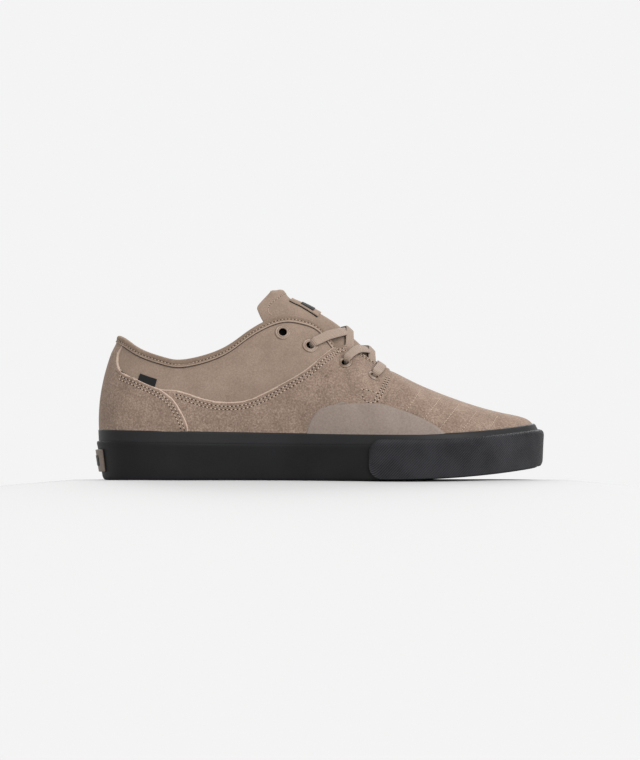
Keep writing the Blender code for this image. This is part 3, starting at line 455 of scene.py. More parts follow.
def addNode(tree, kind, inputs=None, **settings):
    node = tree.nodes.new(kind)
    for name, value in settings.items():
        if name == "stops":
            ramp = node.color_ramp
            while len(ramp.elements) < len(value):
                ramp.elements.new(0.5)
            for element, (position, colour) in zip(ramp.elements, value):
                element.position = position
                element.color = colour
        else:
            setattr(node, name, value)
    for name, value in (inputs or {}).items():
        if isinstance(value, bpy.types.NodeSocket):
            tree.links.new(value, node.inputs[name])
        else:
            node.inputs[name].default_value = value
    return node


def newMaterial(name, roughness, **sockets):
    material = bpy.data.materials.new(name)
    material.use_nodes = True
    shader = material.node_tree.nodes["Principled BSDF"]
    shader.inputs["Roughness"].default_value = roughness
    for socket, value in sockets.items():
        shader.inputs[socket.replace("_", " ")].default_value = value
    return material, material.node_tree, shader


def addNoise(tree, place, grainMm, detail=3.0, roughness=0.5):
    return addNode(tree, "ShaderNodeTexNoise", {
        "Vector": place, "Scale": 1 / (grainMm * mm), "Detail": detail, "Roughness": roughness,
    }).outputs["Fac"]


def addBands(tree, place, pitchMm, direction):
    return addNode(tree, "ShaderNodeTexWave", {
        "Vector": place, "Scale": math.tau / (20 * pitchMm * mm),
    }, wave_type="BANDS", bands_direction=direction, wave_profile="SIN").outputs["Fac"]


def addMix(tree, value, share, more):  # value times share, plus more
    return addNode(tree, "ShaderNodeMath", {0: value, 1: share, 2: more}, operation="MULTIPLY_ADD").outputs[0]


def finishSurface(tree, shader, shade, stops, height, bumpMm):  # colour through a ramp, and relief
    stops = [(position, hexColour(code)) for position, code in stops]
    ramp = addNode(tree, "ShaderNodeValToRGB", {"Fac": shade}, stops=stops)
    bump = addNode(tree, "ShaderNodeBump", {"Height": height, "Distance": bumpMm * mm, "Strength": 1.0})
    tree.links.new(ramp.outputs["Color"], shader.inputs["Base Color"])
    tree.links.new(bump.outputs["Normal"], shader.inputs["Normal"])


def suedeMaterial(name, dark, middle, light, grainMm, contrast, bumpMm):
    # Split leather with its nap raised by sanding: matt, soft, with patches where the nap lies another way
    material, tree, shader = newMaterial(
        name, 0.95, Specular_IOR_Level=0.15, Sheen_Weight=0.25, Sheen_Roughness=0.6,
        Sheen_Tint=hexColour("#C9B5A3"),
    )
    place = addNode(tree, "ShaderNodeTexCoord").outputs["Object"]
    grain = addNoise(tree, place, grainMm, roughness=0.65)
    patch = addNoise(tree, place, 14, detail=4.0, roughness=0.6)
    patchShare = 0.35
    fine = addMix(tree, grain, contrast, 0.5 - contrast * 0.5 - patchShare * 0.5)
    shade = addMix(tree, patch, patchShare, fine)
    finishSurface(tree, shader, shade, ((0.25, dark), (0.5, middle), (0.75, light)), grain, bumpMm)
    return material


def rubberMaterial(name, dark, light, roughness, grainMm, bumpMm, twillMm=0.0):
    # Vulcanised black rubber: dull, with the grain of its mould; the toe cap is pressed with a fine twill,
    # whose raised ribs are painted lighter as highlight
    material, tree, shader = newMaterial(name, roughness, Specular_IOR_Level=0.18)
    coords = addNode(tree, "ShaderNodeTexCoord")
    height = addNoise(tree, coords.outputs["Object"], grainMm, roughness=0.6)
    cloud = addNoise(tree, coords.outputs["Object"], 26)
    if twillMm:
        turned = addNode(tree, "ShaderNodeMapping", {
            "Vector": coords.outputs["UV"], "Rotation": (0.0, 0.0, math.radians(45)),
        })
        height = addMix(tree, height, 0.35, addBands(tree, turned.outputs["Vector"], twillMm, "X"))
    # colour follows the relief, raised places lighter: painted highlight on the grain and twill, over the
    # rubber's own cloudy tone
    shade = addMix(tree, height, 0.35, cloud)
    finishSurface(tree, shader, shade, ((0.35, dark), (0.95, light)), height, bumpMm)
    return material


def wovenMaterial(name, dark, light, threadMm, bumpMm, roughness=0.9):
    # Woven threads over and under each other, in the piece's own UV map, which is in metres
    material, tree, shader = newMaterial(name, roughness, Specular_IOR_Level=0.2, Sheen_Weight=0.15)
    coords = addNode(tree, "ShaderNodeTexCoord")
    waves = [addBands(tree, coords.outputs["UV"], threadMm, direction) for direction in ("X", "Y")]
    weave = addNode(tree, "ShaderNodeMath", {0: waves[0], 1: waves[1]}, operation="MULTIPLY").outputs[0]
    fuzz = addNoise(tree, coords.outputs["Object"], 0.5, detail=2.0)
    finishSurface(tree, shader, addMix(tree, fuzz, 0.6, weave), ((0.2, dark), (1.0, light)), weave, bumpMm)
    return material


def plainMaterial(name, dark, light, roughness, grainMm, bumpMm, **sockets):
    # A nearly even finish with a fine grain
    material, tree, shader = newMaterial(name, roughness, **sockets)
    grain = addNoise(tree, addNode(tree, "ShaderNodeTexCoord").outputs["Object"], grainMm)
    finishSurface(tree, shader, grain, ((0.3, dark), (0.7, light)), grain, bumpMm)
    return material


smoothSuede = suedeMaterial("smooth suede", "#64554B", "#79695D", "#8D7B6E", 1.0, 0.55, 0.12)
nappedSuede = suedeMaterial("napped suede", "#54463C", "#746358", "#948274", 1.1, 0.85, 0.22)
cuffSuede = suedeMaterial("cuff suede", "#56483E", "#6D5D51", "#827163", 1.0, 0.6, 0.12)
cutEdge = plainMaterial("cut edge of split leather", "#958273", "#A99688", 0.95, 0.8, 0.1)
# dark strip that paints the shadow under the cuff's lower edge
cuffShadowPaint = plainMaterial("painted shadow under cuff edge", "#3A2F28", "#463A32", 0.9, 1.0, 0.02)
patchCoat = plainMaterial(
    "polyurethane-coated split", "#71655D", "#7D7169", 0.7, 1.2, 0.05, Specular_IOR_Level=0.2,
)
tierRubber = rubberMaterial("moulded sole rubber", "#070708", "#111113", 0.55, 0.9, 0.08)
foxingRubber = rubberMaterial("calendered foxing rubber", "#161617", "#1E1E20", 0.5, 2.2, 0.02)
# its wide dark-to-light ramp paints highlights on the raised twill
bumperRubber = rubberMaterial("twill-pressed toe rubber", "#030304", "#2E2E32", 0.55, 0.8, 0.4, twillMm=1.3)
blackLining = wovenMaterial("black spacer mesh", "#141415", "#26262A", 1.3, 0.25)
insoleCloth = wovenMaterial("black insole jersey", "#161617", "#232326", 1.0, 0.12)
laceCotton = wovenMaterial("flat woven cotton lace", "#74655A", "#9A887A", 0.9, 0.14)
# darker colour that paints the shade along the lace's edges
laceEdgeShade = wovenMaterial("painted shade on lace edges", "#3D322A", "#54463B", 0.9, 0.1)
tagWeave = wovenMaterial("black woven ribbon", "#0B0B0C", "#161618", 0.6, 0.05)
threadTan = plainMaterial("bonded nylon thread", "#998675", "#B7A493", 0.7, 0.5, 0.03)
# dark colour that paints the shade in the needle holes
needleHoleShade = plainMaterial("painted needle-hole shade", "#1E1713", "#2A211C", 1.0, 0.6, 0.02)
eyeletPaint = plainMaterial("tan enamel on brass", "#6C594B", "#7B6859", 0.4, 2.5, 0.01, Coat_Weight=0.15)
# black that paints the shade seen down the eyelet holes
eyeletBoreShade = plainMaterial("painted shade inside eyelet bore", "#050505", "#080808", 0.9, 2.0, 0.01, Specular_IOR_Level=0.05)
badgeRubber = plainMaterial("tan moulded rubber", "#5E5248", "#6B5E54", 0.6, 1.5, 0.03)
print("materials made")


# the sole

soleSizes = {
    "taperHeel": 4.7 * mm,
    "taperSide": 1.2 * mm,
    "toeCorner": (2.6 * mm, 0.22),  # pulled in under the toe, and the share of the height it takes
    "tierStep": 1.4 * mm,
    "foxing": 1.6 * mm,
    "gap": 0.3 * mm,
    "treadPitch": 8.0 * mm,
    "treadGroove": 1.2 * mm,
    "rowCount": 300,
}


def soleSide(u, height, more=0.0):  # outsole's side at a share of the lower tier's height
    heelShare = np.maximum(0, -outline(u)[2]) ** 2
    taper = soleSizes["taperSide"] + (soleSizes["taperHeel"] - soleSizes["taperSide"]) * heelShare
    inset = taper * np.interp(height, [0, 0.12, 0.73, 0.95, 1.0], [1.0, 0.78, 0.27, 0.0, 0.0]) + more
    under = np.clip(1 - height / soleSizes["toeCorner"][1], 0, 1)
    toeShare = np.maximum(0, outline(u)[2]) ** 2
    inset = inset + soleSizes["toeCorner"][0] * toeShare * (1 - np.sqrt(1 - under**2))
    x, y, _, _ = outline(u, inset)
    low = soleBottom(x)
    return np.stack([x, y, low + (tierTop(x) - low) * height], -1)


def pushed(u, point, distance):
    return point + np.asarray(distance)[..., None] * outwardAt(u)


def besideWall(u, z, distance):
    point = pushed(u, wallPoint(u, vAtHeight(u, z)), distance)
    point[..., 2] = z
    return point


def crossSolid(name, path, finish, acrossTop, acrossBottom, rowCount, relief=None, zones=None, sharp=40):
    # solid through sections across the foot: path gives a side's points from its bottom to its top
    u = np.linspace(0, rows, rowCount)
    outer, inner = np.stack(path(u), 1), np.stack(path(loop - u), 1)
    over = np.linspace(0, 1, acrossTop + 2)[1:-1, None]
    under = np.linspace(0, 1, acrossBottom + 2)[1:-1, None]
    top = outer[:, -1:] * (1 - over) + inner[:, -1:] * over
    bottom = inner[:, :1] * (1 - under) + outer[:, :1] * under
    if relief:
        bottom = relief(bottom)
    ring = np.concatenate([outer, top, inner[:, ::-1], bottom, outer[:, :1]], 1)
    return gridPiece(name, ring, finish, zones=zones, sharp=sharp)


def outsolePath(u):
    side = ((0.0, 1.4), (0.004, 0.8), (0.02, 0.32), (0.05, 0.07), (0.1, 0), (0.25, 0), (0.4, 0), (0.6, 0),
            (0.75, 0), (0.88, 0), (0.94, 0.03), (0.975, 0.22), (0.995, 0.6), (1.0, 1.1))
    path = [soleSide(u, 0.0, 5 * mm)]
    path += [soleSide(u, height, more * mm) for height, more in side]
    x = outline(u)[0]
    seat = slabTop(wallPoint(u, 0)[..., 0])
    path += [besideWall(u, seat + share * (tierTop(x) - seat), soleSizes["gap"]) for share in (1.0, 0.5, 0.0)]
    return path


def tread(points):  # zigzag grooves moulded across the ground face
    pitch = soleSizes["treadPitch"]
    x, y = points[..., 0], points[..., 1]
    turn = 1.6 * pitch  # width across the foot of one turn of the zigzag
    zigzag = np.abs((y / turn) % 1 - 0.5) * turn
    across = np.abs(((x + zigzag) / pitch) % 1 - 0.5) * 2
    depth = np.clip((across - 0.72) / 0.14, 0, 1)  # 1 in the groove, with sloping sides
    lifted = points.copy()
    lifted[..., 2] += soleSizes["treadGroove"] * depth
    return lifted


outsole = crossSolid(
    "outsoleRubber", outsolePath, [tierRubber], 8, 96, soleSizes["rowCount"], relief=tread, sharp=35,
)
stand(outsole, "outsole_rubber", "outsole")


def foxingFace(u, z):
    x = outline(u)[0]
    low, high = tierTop(x), foxingTop(x)
    bottom = np.stack([*outline(u, soleSizes["tierStep"])[:2], low], -1)
    top = besideWall(u, high, soleSizes["gap"] + soleSizes["foxing"])
    return bottom + (top - bottom) * ((z - low) / (high - low))[..., None]


def makeFoxing():
    u = np.linspace(0, loop, 560)
    x = outline(u)[0]
    low, high = tierTop(x) - 0.1 * mm, foxingTop(x)
    ring = [besideWall(u, low + share * (high - low), 0.1 * mm) for share in (0.0, 0.5, 0.93)]
    ring += [besideWall(u, high - 0.12 * mm, 0.35 * mm), besideWall(u, high, 0.8 * mm)]
    for below, back in ((0.08, 0.45), (0.3, 0.15), (0.7, 0.02), (1.6, 0.0)):
        ring.append(pushed(u, foxingFace(u, high - below * mm), -back * mm * np.ones(u.shape)))
    ring += [foxingFace(u, low + share * (high - low)) for share in (0.6, 0.35, 0.12)]
    ring += [foxingFace(u, low), ring[0]]
    return gridPiece("foxingTape", np.stack(ring, 1), [foxingRubber], sharp=50)


stand(makeFoxing(), "foxing_rubber", "foxing")

bumperSizes = {
    "start": 0.6115,  # share of the sole's length
    "thickness": 1.5 * mm,
    "lap": (3.2 * mm, 1.9 * mm),  # over the ledge, at its rear end and from the ball forward
    "lift": 0.7 * mm,
    "corner": 9.0 * mm,
    "shoulder": 2.8 * mm,
}


def alongOutline(x, inner=False):
    u = np.linspace(1, rows, 4000)
    return onSide(np.interp(x, outline(onSide(u, inner))[0], u), inner)


def makeBumper():
    start = (bumperSizes["start"] - 0.5) * last["soleLength"]
    u = np.linspace(alongOutline(start), alongOutline(start, inner=True), 1600)
    flat = np.stack(outline(u)[:2], -1)
    run = runAlong(flat)
    corner = bumperSizes["corner"]
    ends = corner * (1 - np.cos(np.linspace(0, math.pi / 2, 12)))
    stops = np.concatenate([ends, np.linspace(corner, run[-1] - corner, 300)[1:-1], run[-1] - ends[::-1]])
    u = np.interp(stops, run, u)
    reach = np.minimum(corner, np.minimum(stops, run[-1] - stops))
    cut = corner - np.sqrt(np.maximum(corner**2 - (corner - reach) ** 2, 0))
    x = outline(u)[0]
    bottom, ledge = soleBottom(x), tierTop(x)
    lap = np.interp(shareAlong(x), [0.64, 0.80], bumperSizes["lap"])
    low, high = bottom + bumperSizes["lift"] + cut, ledge + lap - cut
    sheet = []
    for t in np.concatenate([np.linspace(0, 0.86, 22), np.linspace(0.88, 1, 9)]):
        z = low + t * (high - low)
        share = (z - bottom) / (ledge - bottom)
        face = soleSide(u, np.minimum(share, 0.95))
        over = np.clip((z - (ledge - bumperSizes["shoulder"])) / (lap + bumperSizes["shoulder"]), 0, 1)
        foxing = foxingFace(u, np.maximum(z, ledge))
        lean = 1 - np.sqrt(np.maximum(1 - over**2, 0))
        point = face * (1 - lean[..., None]) + foxing * lean[..., None]
        point = pushed(u, point, bumperSizes["thickness"] + 0.3 * mm - 0.9 * mm * lean)
        point[..., 2] = z
        sheet.append(point)
    facing = np.repeat(outwardAt(u)[:, None], len(sheet), 1)
    piece = gridPiece("toeBumper", np.stack(sheet, 1), [bumperRubber], facing=facing)
    thicken(piece, 1.6 * mm, outward=False)
    return roundEdges(piece, 0.7 * mm, steps=3)


stand(makeBumper(), "bumper_rubber", "toe_bumper")

badgeSizes = {
    # half its width, its lower and upper edge, lift off the sole's side, thickness
    "plate": (17.0 * mm, 5.6 * mm, 20.5 * mm, 0.1 * mm, 1.8 * mm),
    "inlay": (11.0 * mm, 9.4 * mm, 16.5 * mm, 1.8 * mm, 0.5 * mm),
    "corner": 0.4 * mm,
}


def heelPlate(name, sizes, finish):
    half, low, high, lift, thickness = sizes
    places = np.linspace(0, 2, 80)
    reach = [np.interp(half, np.abs(outline(turn * places)[1]), places) for _, _, turn in sides]
    u = np.linspace(-reach[1], reach[0], 60)
    height = np.linspace(low, high, 14) / float(tierTop(-last["soleLength"] / 2))
    points = np.stack([pushed(u, soleSide(u, h), lift * np.ones(u.shape)) for h in height], 1)
    facing = np.repeat(outwardAt(u)[:, None], len(height), 1)
    piece = gridPiece(name, points, finish, facing=facing)
    thicken(piece, thickness, outward=True)
    return roundEdges(piece, badgeSizes["corner"])


stand(heelPlate("heelBadge", badgeSizes["plate"], [badgeRubber]), "badge_rubber", "heel_badge")
stand(heelPlate("heelBadgeInlay", badgeSizes["inlay"], [tagWeave]), "black_trim", "heel_badge_inlay")


insoleSizes = {
    "gap": 0.3,  # mm, to the upper and the slab
    "side": ((0.0, 0.0), (0.0, 3.4), (0.5, 4.3), (1.8, 4.6), (4.0, 4.5)),  # mm in from the edge, and up
}


def insolePath(u):
    path = []
    gap = insoleSizes["gap"]
    for inset, lift in insoleSizes["side"]:
        x, y, _, _ = outline(u, last["upperInset"] + last["upperWall"] + (gap + inset) * mm)
        path.append(np.stack([x, y, slabTop(x) + (gap + lift) * mm], -1))
    return path


insole = crossSolid("insoleJersey", insolePath, [insoleCloth], 40, 4, 220)
stand(insole, "insole_cloth", "insole")
print("sole made")


# eyelets: places first, because the leather is pierced for them

eyeletSizes = {
    "stops": ((124.8, 98.7), (143.1, 89.8), (166.7, 77.5), (185.2, 68.3)),  # mm from the heel and the ground
    "bore": 2.6 * mm,
    "quarterFlange": 5.1 * mm,
    "panelFlange": 4.3 * mm,
    "pierced": 3.4 * mm,
}
panelSkin = 1.4 * mm  # side panel's face over the upper's, under the two front eyelets of a side
eyeletSpots = []
for side, inner, _ in sides:
    for number, (u, v) in enumerate(sidePath(eyeletSizes["stops"], inner=inner).T):
        skin = panelSkin if number > 1 else 0.0
        eyeletSpots.append((f"{side}_{number + 1}", float(u), float(v), skin))
eyeletAxes = [(Vector(wallPoint(u, v)), Vector(wallNormal(u, v))) for _, u, v, _ in eyeletSpots]


def offEyelets(centre):
    for place, axis in eyeletAxes:
        away = centre - place
        if away.length < 9 * mm and (away - away.dot(axis) * axis).length < eyeletSizes["pierced"]:
            return False
    return True


# the upper

upperSizes = {
    "columns": 504,
    "rowsUp": 74,
    "toeStart": 172.0 * mm,  # from the heel, where the napped toe piece takes over under the side panel
    "creases": (  # side view path in mm from the heel and the ground, depth and half width in mm
        (((207, 62), (203, 52), (200, 42)), 0.5, 5.0),
        (((222, 57), (219, 48), (218, 38)), 0.35, 5.0),
        (((60, 76), (58, 66), (59, 56)), 0.35, 6.0),
    ),
}
creasePaths = []
for stops, depth, half in upperSizes["creases"]:
    for _, inner, _ in sides:
        creasePaths.append((wallPoint(*sidePath(stops, inner=inner, count=24)), depth * mm, half * mm))


def creased(points, normals):
    for path, depth, half in creasePaths:
        points = points - normals * (depth * np.exp(-((distanceTo(points, path) / half) ** 2)))[..., None]
    return points


def makeUpper():
    u = np.linspace(0, loop, upperSizes["columns"] + 1)[:, None]
    v = np.linspace(0, 1, upperSizes["rowsUp"])[None]
    points, normals = wallPoint(u, v), wallNormal(u, v)
    points = creased(points, normals)
    ahead = points[..., 0] + last["soleLength"] / 2 > upperSizes["toeStart"]

    def zones(s, t):
        return 3 * ahead[int(s * upperSizes["columns"]), int(t * (upperSizes["rowsUp"] - 1))]

    finish = [smoothSuede, blackLining, cutEdge, nappedSuede]
    piece = gridPiece("upperSuede", points, finish, facing=normals, zones=zones, keep=offEyelets)
    return thicken(piece, last["upperWall"], outward=False, inside=1, rim=2)


stand(makeUpper(), "upper_suede", "upper")
print("upper made")


# overlays: edges in mm from the heel's back and over the ground, as seen from the side

counterFront = (
    (19.7, 95.6), (16.4, 87.9), (14.3, 84.1), (13.9, 79.0), (14.9, 73.7), (18.2, 70.3), (24.8, 67.5),
    (31.6, 64.4), (38.2, 61.4), (43.2, 59.2), (47.4, 56.2), (51.6, 52.5), (54.9, 47.5), (57.9, 42.0),
    (60.2, 36.9), (62.0, 29.4),
)
wingTop = (
    (46.0, 59.2), (52.5, 59.2), (58.3, 57.8), (65.3, 55.3), (73.8, 52.7), (82.6, 51.1), (90.7, 50.9),
    (99.0, 51.8), (108.0, 54.8), (117.5, 59.5), (127.8, 65.1), (138.1, 71.0), (148.5, 79.4), (155.7, 85.4),
    (161.3, 89.6), (165.8, 92.5),
)
patchArc = (
    (141.0, 30.0), (141.9, 34.5), (144.4, 40.0), (148.5, 45.5), (153.5, 48.8), (162.2, 50.3), (175.6, 50.4),
    (186.6, 50.2), (197.9, 47.6), (209.0, 43.6), (220.1, 38.8), (228.0, 34.0), (233.0, 30.0),
)
grids = {"panel": (190, 62), "counter": (200, 60), "patch": (130, 34), "tag": (30, 14)}
overlaySizes = {
    "lift": -0.1 * mm,
    "thickness": 1.5 * mm,
    "round": 0.9 * mm,  # radius of the worn corner along a cut edge
    "cut": 0.45 * mm,  # width of the pale raw edge
    "groove": 0.3 * mm,
    "band": 3.5 * mm,  # cuff that shows on the outside
    "tuck": 1.0 * mm,  # overlays go this far behind the foxing
}
panelSizes = {
    "front": ((198.9, 69.3), (196.3, 63.5), (193.0, 57.0), (189.5, 51.0)),
    "foot": {"lateral": ((183.0, 44.0), (179.0, 33.0)), "medial": ((184.0, 44.0), (178.5, 33.0))},
    "toeRow": 14.35,  # place on the loop where the front edge meets the ridge
    "behind": 0.4,  # places on the loop that it goes under the counter
    "rows": (1.9, 4.1),  # mm from the wing's edge and the front edge to their stitch rows
    "rim": (12.15, 13.75),  # places on the loop between which the throat's edge is sewn
    "rimRows": (2.0, 4.0),
    "hooks": (
        ((176.3, 60.3), (180.8, 59.5), (188.0, 57.0)),
        ((177.5, 57.6), (179.9, 52.6), (184.1, 50.9), (187.7, 52.0)),
    ),
}
counterSizes = {
    "rows": (1.8, 3.9),
    "lap": 1.0 * mm,  # its front foot lies over the side panels
    "sunk": 0.75 * mm,  # its top lies under the cuff
}
patchSizes = {
    "cornerPoint": 40,  # of the arc's 120 points, where its rear edge becomes its top edge
    "rise": 0.6 * mm,
    "press": 0.35 * mm,  # flatter again at the foxing
}
tagSizes = {
    "corners": ((29.9, 71.0), (40.9, 67.2), (39.4, 62.0), (28.1, 66.3)),
    "thickness": 0.9 * mm,
}
stitchSizes = {
    "hole": (1.1, 0.95),  # mm, length and width of the dark mark that paints a needle hole's shade
    "holeSunk": 0.05 * mm,
    "clear": 0.5 * mm,  # no stitch starts closer to the foxing
}
stitches = {"tan": [], "hole": []}


def tuckedV(u):
    return vAtHeight(u, foxingTop(outline(u)[0]) - overlaySizes["tuck"])


def sewRow(path, lift, pitch=2.7, length=1.8, width=0.75, first=0.0, dark=True, rise=None):
    # notes the stitches of a row along u, v: pitch, length and width in mm
    points, normals = wallPoint(*path), wallNormal(*path)
    points = creased(points, normals)
    surface = points + normals * lift
    if rise is not None:
        surface = surface + rise(points)[..., None] * normals
    run = runAlong(surface)
    count = max(1, int(run[-1] / (pitch * mm)))
    at = (np.arange(count) + 0.5 + first) * run[-1] / count
    table = np.concatenate([surface, normals], 1)
    found = []
    for shift in (0, 0.5, -0.5, pitch / 2):  # at the stitch, ahead of it, behind it and at its hole
        places = [np.interp(s + shift * mm, run, table[:, k]) for k in range(6) for s in at]
        found.append(np.array(places).reshape(6, -1).T)
    for here, ahead, behind, hole in zip(*found):
        if here[2] < foxingTop(here[0]) + stitchSizes["clear"]:
            continue
        forward = ahead[:3] - behind[:3]
        stitches["tan"].append((here[:3], here[3:], forward, length, width))
        # a dark mark sunk at each hole paints the shade in the needle hole
        if dark:
            sunk = hole[:3] - stitchSizes["holeSunk"] * hole[3:]
            stitches["hole"].append((sunk, hole[3:], forward, *stitchSizes["hole"]))
    return points + normals * overlaySizes["lift"]


def closePoints(path, count=900):  # points of the path on the wall, about a fifth of a millimetre apart
    return wallPoint(*evenly(path)(np.linspace(0, 1, count)).T)


def laidPanel(
    name, uv, finish, rowsOfStitches, slot, nodes, thickness=None, pierce=False, rise=None, borders=(), raw=2,
):
    # a panel over the wall, its corner worn round along the borders: the first raw ones show a pale cut
    u, v = uv
    points, normals = wallPoint(u, v), wallNormal(u, v)
    edge = bare = np.full(points.shape[:2], 1.0)
    if borders:
        edge = distanceTo(points, np.concatenate([closePoints(border) for border in borders]))
        bare = distanceTo(points, np.concatenate([closePoints(border) for border in borders[:raw]]))
    points = creased(points, normals) + overlaySizes["lift"] * normals
    if rise is not None:
        points = points + rise(points)[..., None] * normals
    for row in rowsOfStitches:
        away = distanceTo(points, row)
        points = points - normals * (overlaySizes["groove"] * np.exp(-((away / (0.9 * mm)) ** 2)))[..., None]
    left = np.clip(1 - edge / overlaySizes["round"], 0, 1)
    points = points - normals * (overlaySizes["round"] * (1 - np.sqrt(1 - left**2)))[..., None]
    n, m = edge.shape

    def zones(s, t):
        i, j = int(s * (n - 1)), int(t * (m - 1))
        return bare[i : i + 2, j : j + 2].mean() < overlaySizes["cut"]

    piece = gridPiece(name, points, finish, facing=normals, zones=zones, keep=offEyelets if pierce else None)
    thicken(piece, thickness or overlaySizes["thickness"], outward=True, rim=len(finish) - 1)
    return stand(piece, slot, *nodes)


def nearFoxing(points):  # 1 at the foxing's top edge, falling to 0 above it
    return np.clip(1 - (points[..., 2] - foxingTop(points[..., 0])) / (4 * mm), 0, 1)


def line(start, end, count=40):
    start, end = np.array(start)[:, None], np.array(end)[:, None]
    return start + (end - start) * np.linspace(0, 1, count)


def alongFoxing(start, end, count=120):
    u = np.linspace(start, end, count)
    return np.array([u, tuckedV(u)])


def pinned(path, first, last):  # the path with the v of its two ends set
    path[1, 0], path[1, -1] = first, last
    return path


skin = overlaySizes["lift"] + overlaySizes["thickness"]
for side, inner, turn in sides:
    # side panel: under the counter behind, up to the throat's edge, its front edge running down to the sole
    top = sidePath(wingTop, inner=inner, count=90)
    toeRow = float(onSide(panelSizes["toeRow"], inner))
    backU = float(top[0, 0]) - panelSizes["behind"] * turn
    throat = np.linspace(top[0, -1], toeRow, 30)
    top = np.hstack([[[backU], [top[1, 0]]], top[:, :-1], [throat, np.ones(30)]])
    front = sidePath(panelSizes["front"], inner=inner, count=30)
    foot = sidePath(panelSizes["foot"][side], inner=inner, count=10)
    right = np.hstack([[[toeRow], [1.0]], front, foot])
    right = np.hstack([right, [[right[0, -1] - 0.05 * turn], [0.0]]])[:, ::-1]
    right[1, 0] = tuckedV(right[0, :1])[0]
    bottom = alongFoxing(backU, right[0, 0])
    left = line(bottom[:, 0], (backU, top[1, 0]))
    sewn = []
    for away in panelSizes["rows"]:
        for edge, highest, first in ((top[:, 4:90], 0.985, 0.2), (front[:, 3:], 0.95, 0.0)):
            row = shifted(edge, -away * mm * turn)
            sewn.append(sewRow(row[:, row[1] < highest], skin, first=first * away))
    rim = onSide(np.linspace(*panelSizes["rim"], 40), inner)
    for away in panelSizes["rimRows"]:
        sewn.append(sewRow((rim, vBelowTop(rim, away * mm)), skin))
    for stops in panelSizes["hooks"]:
        sewn.append(sewRow(sidePath(stops, inner=inner, count=20), skin))
    uv = betweenEdges(bottom, top, left, right, *grids["panel"])
    laidPanel(
        f"sidePanel_{side}", uv, [nappedSuede, cutEdge], sewn, "overlay_suede", [f"side_panel_{side}"],
        pierce=True, borders=(top, right), raw=1,
    )
print("side panels made")


def counterRise(points):  # over the side panels at its front foot, under the cuff at its top
    ahead = np.clip((points[..., 0] + last["soleLength"] / 2 - 36 * mm) / (9 * mm), 0, 1)
    below = np.clip((63 * mm - points[..., 2]) / (5 * mm), 0, 1)
    high = np.clip((points[..., 2] - 84 * mm) / (7 * mm), 0, 1)
    over = counterSizes["lap"] * ahead * below * (1 - 0.6 * nearFoxing(points))
    return over - counterSizes["sunk"] * high


# heel counter: from the cuff down to the sole, its front edge sweeping forward over the side panels
edges = {}
sewn = []
underCuff = overlaySizes["band"] - 1 * mm
for _, inner, turn in sides:
    edge = sidePath(counterFront, inner=inner, count=100)
    edge[0] = np.where(edge[0] > 30, edge[0] - loop, edge[0])
    edge = edge[:, (edge[1] < vBelowTop(edge[0], underCuff)) & (edge[1] > tuckedV(edge[0]))]
    edges[inner] = edge[:, ::-1]
    for away in counterSizes["rows"]:
        row = shifted(edge[:, 22:], -away * mm * turn)
        sewn.append(sewRow(row, skin, first=0.2 * away, rise=counterRise))
left, right = edges[True], edges[False]
topU = np.linspace(left[0, -1], right[0, -1], 120)
top = pinned(np.array([topU, vBelowTop(topU, underCuff)]), left[1, -1], right[1, -1])
bottom = pinned(alongFoxing(left[0, 0], right[0, 0]), left[1, 0], right[1, 0])
uv = betweenEdges(bottom, top, left, right, *grids["counter"])
laidPanel(
    "heelCounter", uv, [nappedSuede, cutEdge], sewn, "overlay_suede", ["heel_counter"],
    rise=counterRise, borders=(left, right),
)

# grip patch: a low lens on the outer side, coated and pressed flat
arc = sidePath(patchArc, count=120)
left, top = arc[:, : patchSizes["cornerPoint"] + 1], arc[:, patchSizes["cornerPoint"] :]
bottom = pinned(alongFoxing(arc[0, 0], arc[0, -1]), left[1, 0], top[1, -1])
uv = betweenEdges(bottom, top, left, line(bottom[:, -1], top[:, -1]), *grids["patch"])
laidPanel(
    "olliePatch", uv, [patchCoat, patchCoat], [], "patch_coating", ["ollie_patch"],
    rise=lambda points: patchSizes["rise"] - patchSizes["press"] * nearFoxing(points), borders=(left, top),
)

# side tag: a folded woven ribbon caught under the counter's edge
topLeft, topRight, lowRight, lowLeft = sidePath(tagSizes["corners"]).T
uv = betweenEdges(
    line(lowLeft, lowRight), line(topLeft, topRight),
    line(lowLeft, topLeft), line(lowRight, topRight), *grids["tag"],
)
laidPanel(
    "sideTag", uv, [tagWeave, tagWeave], [], "black_trim", ["side_tag"], thickness=tagSizes["thickness"],
)
print("overlays made")


# padded collar

collarSizes = {
    "end": 11.7,  # place on the loop where the cuff runs under the side panel
    "pad": 5.4 * mm,
    "depth": 30.0 * mm,
    "roll": 1.5 * mm,
    "bandWall": 1.35 * mm,
}


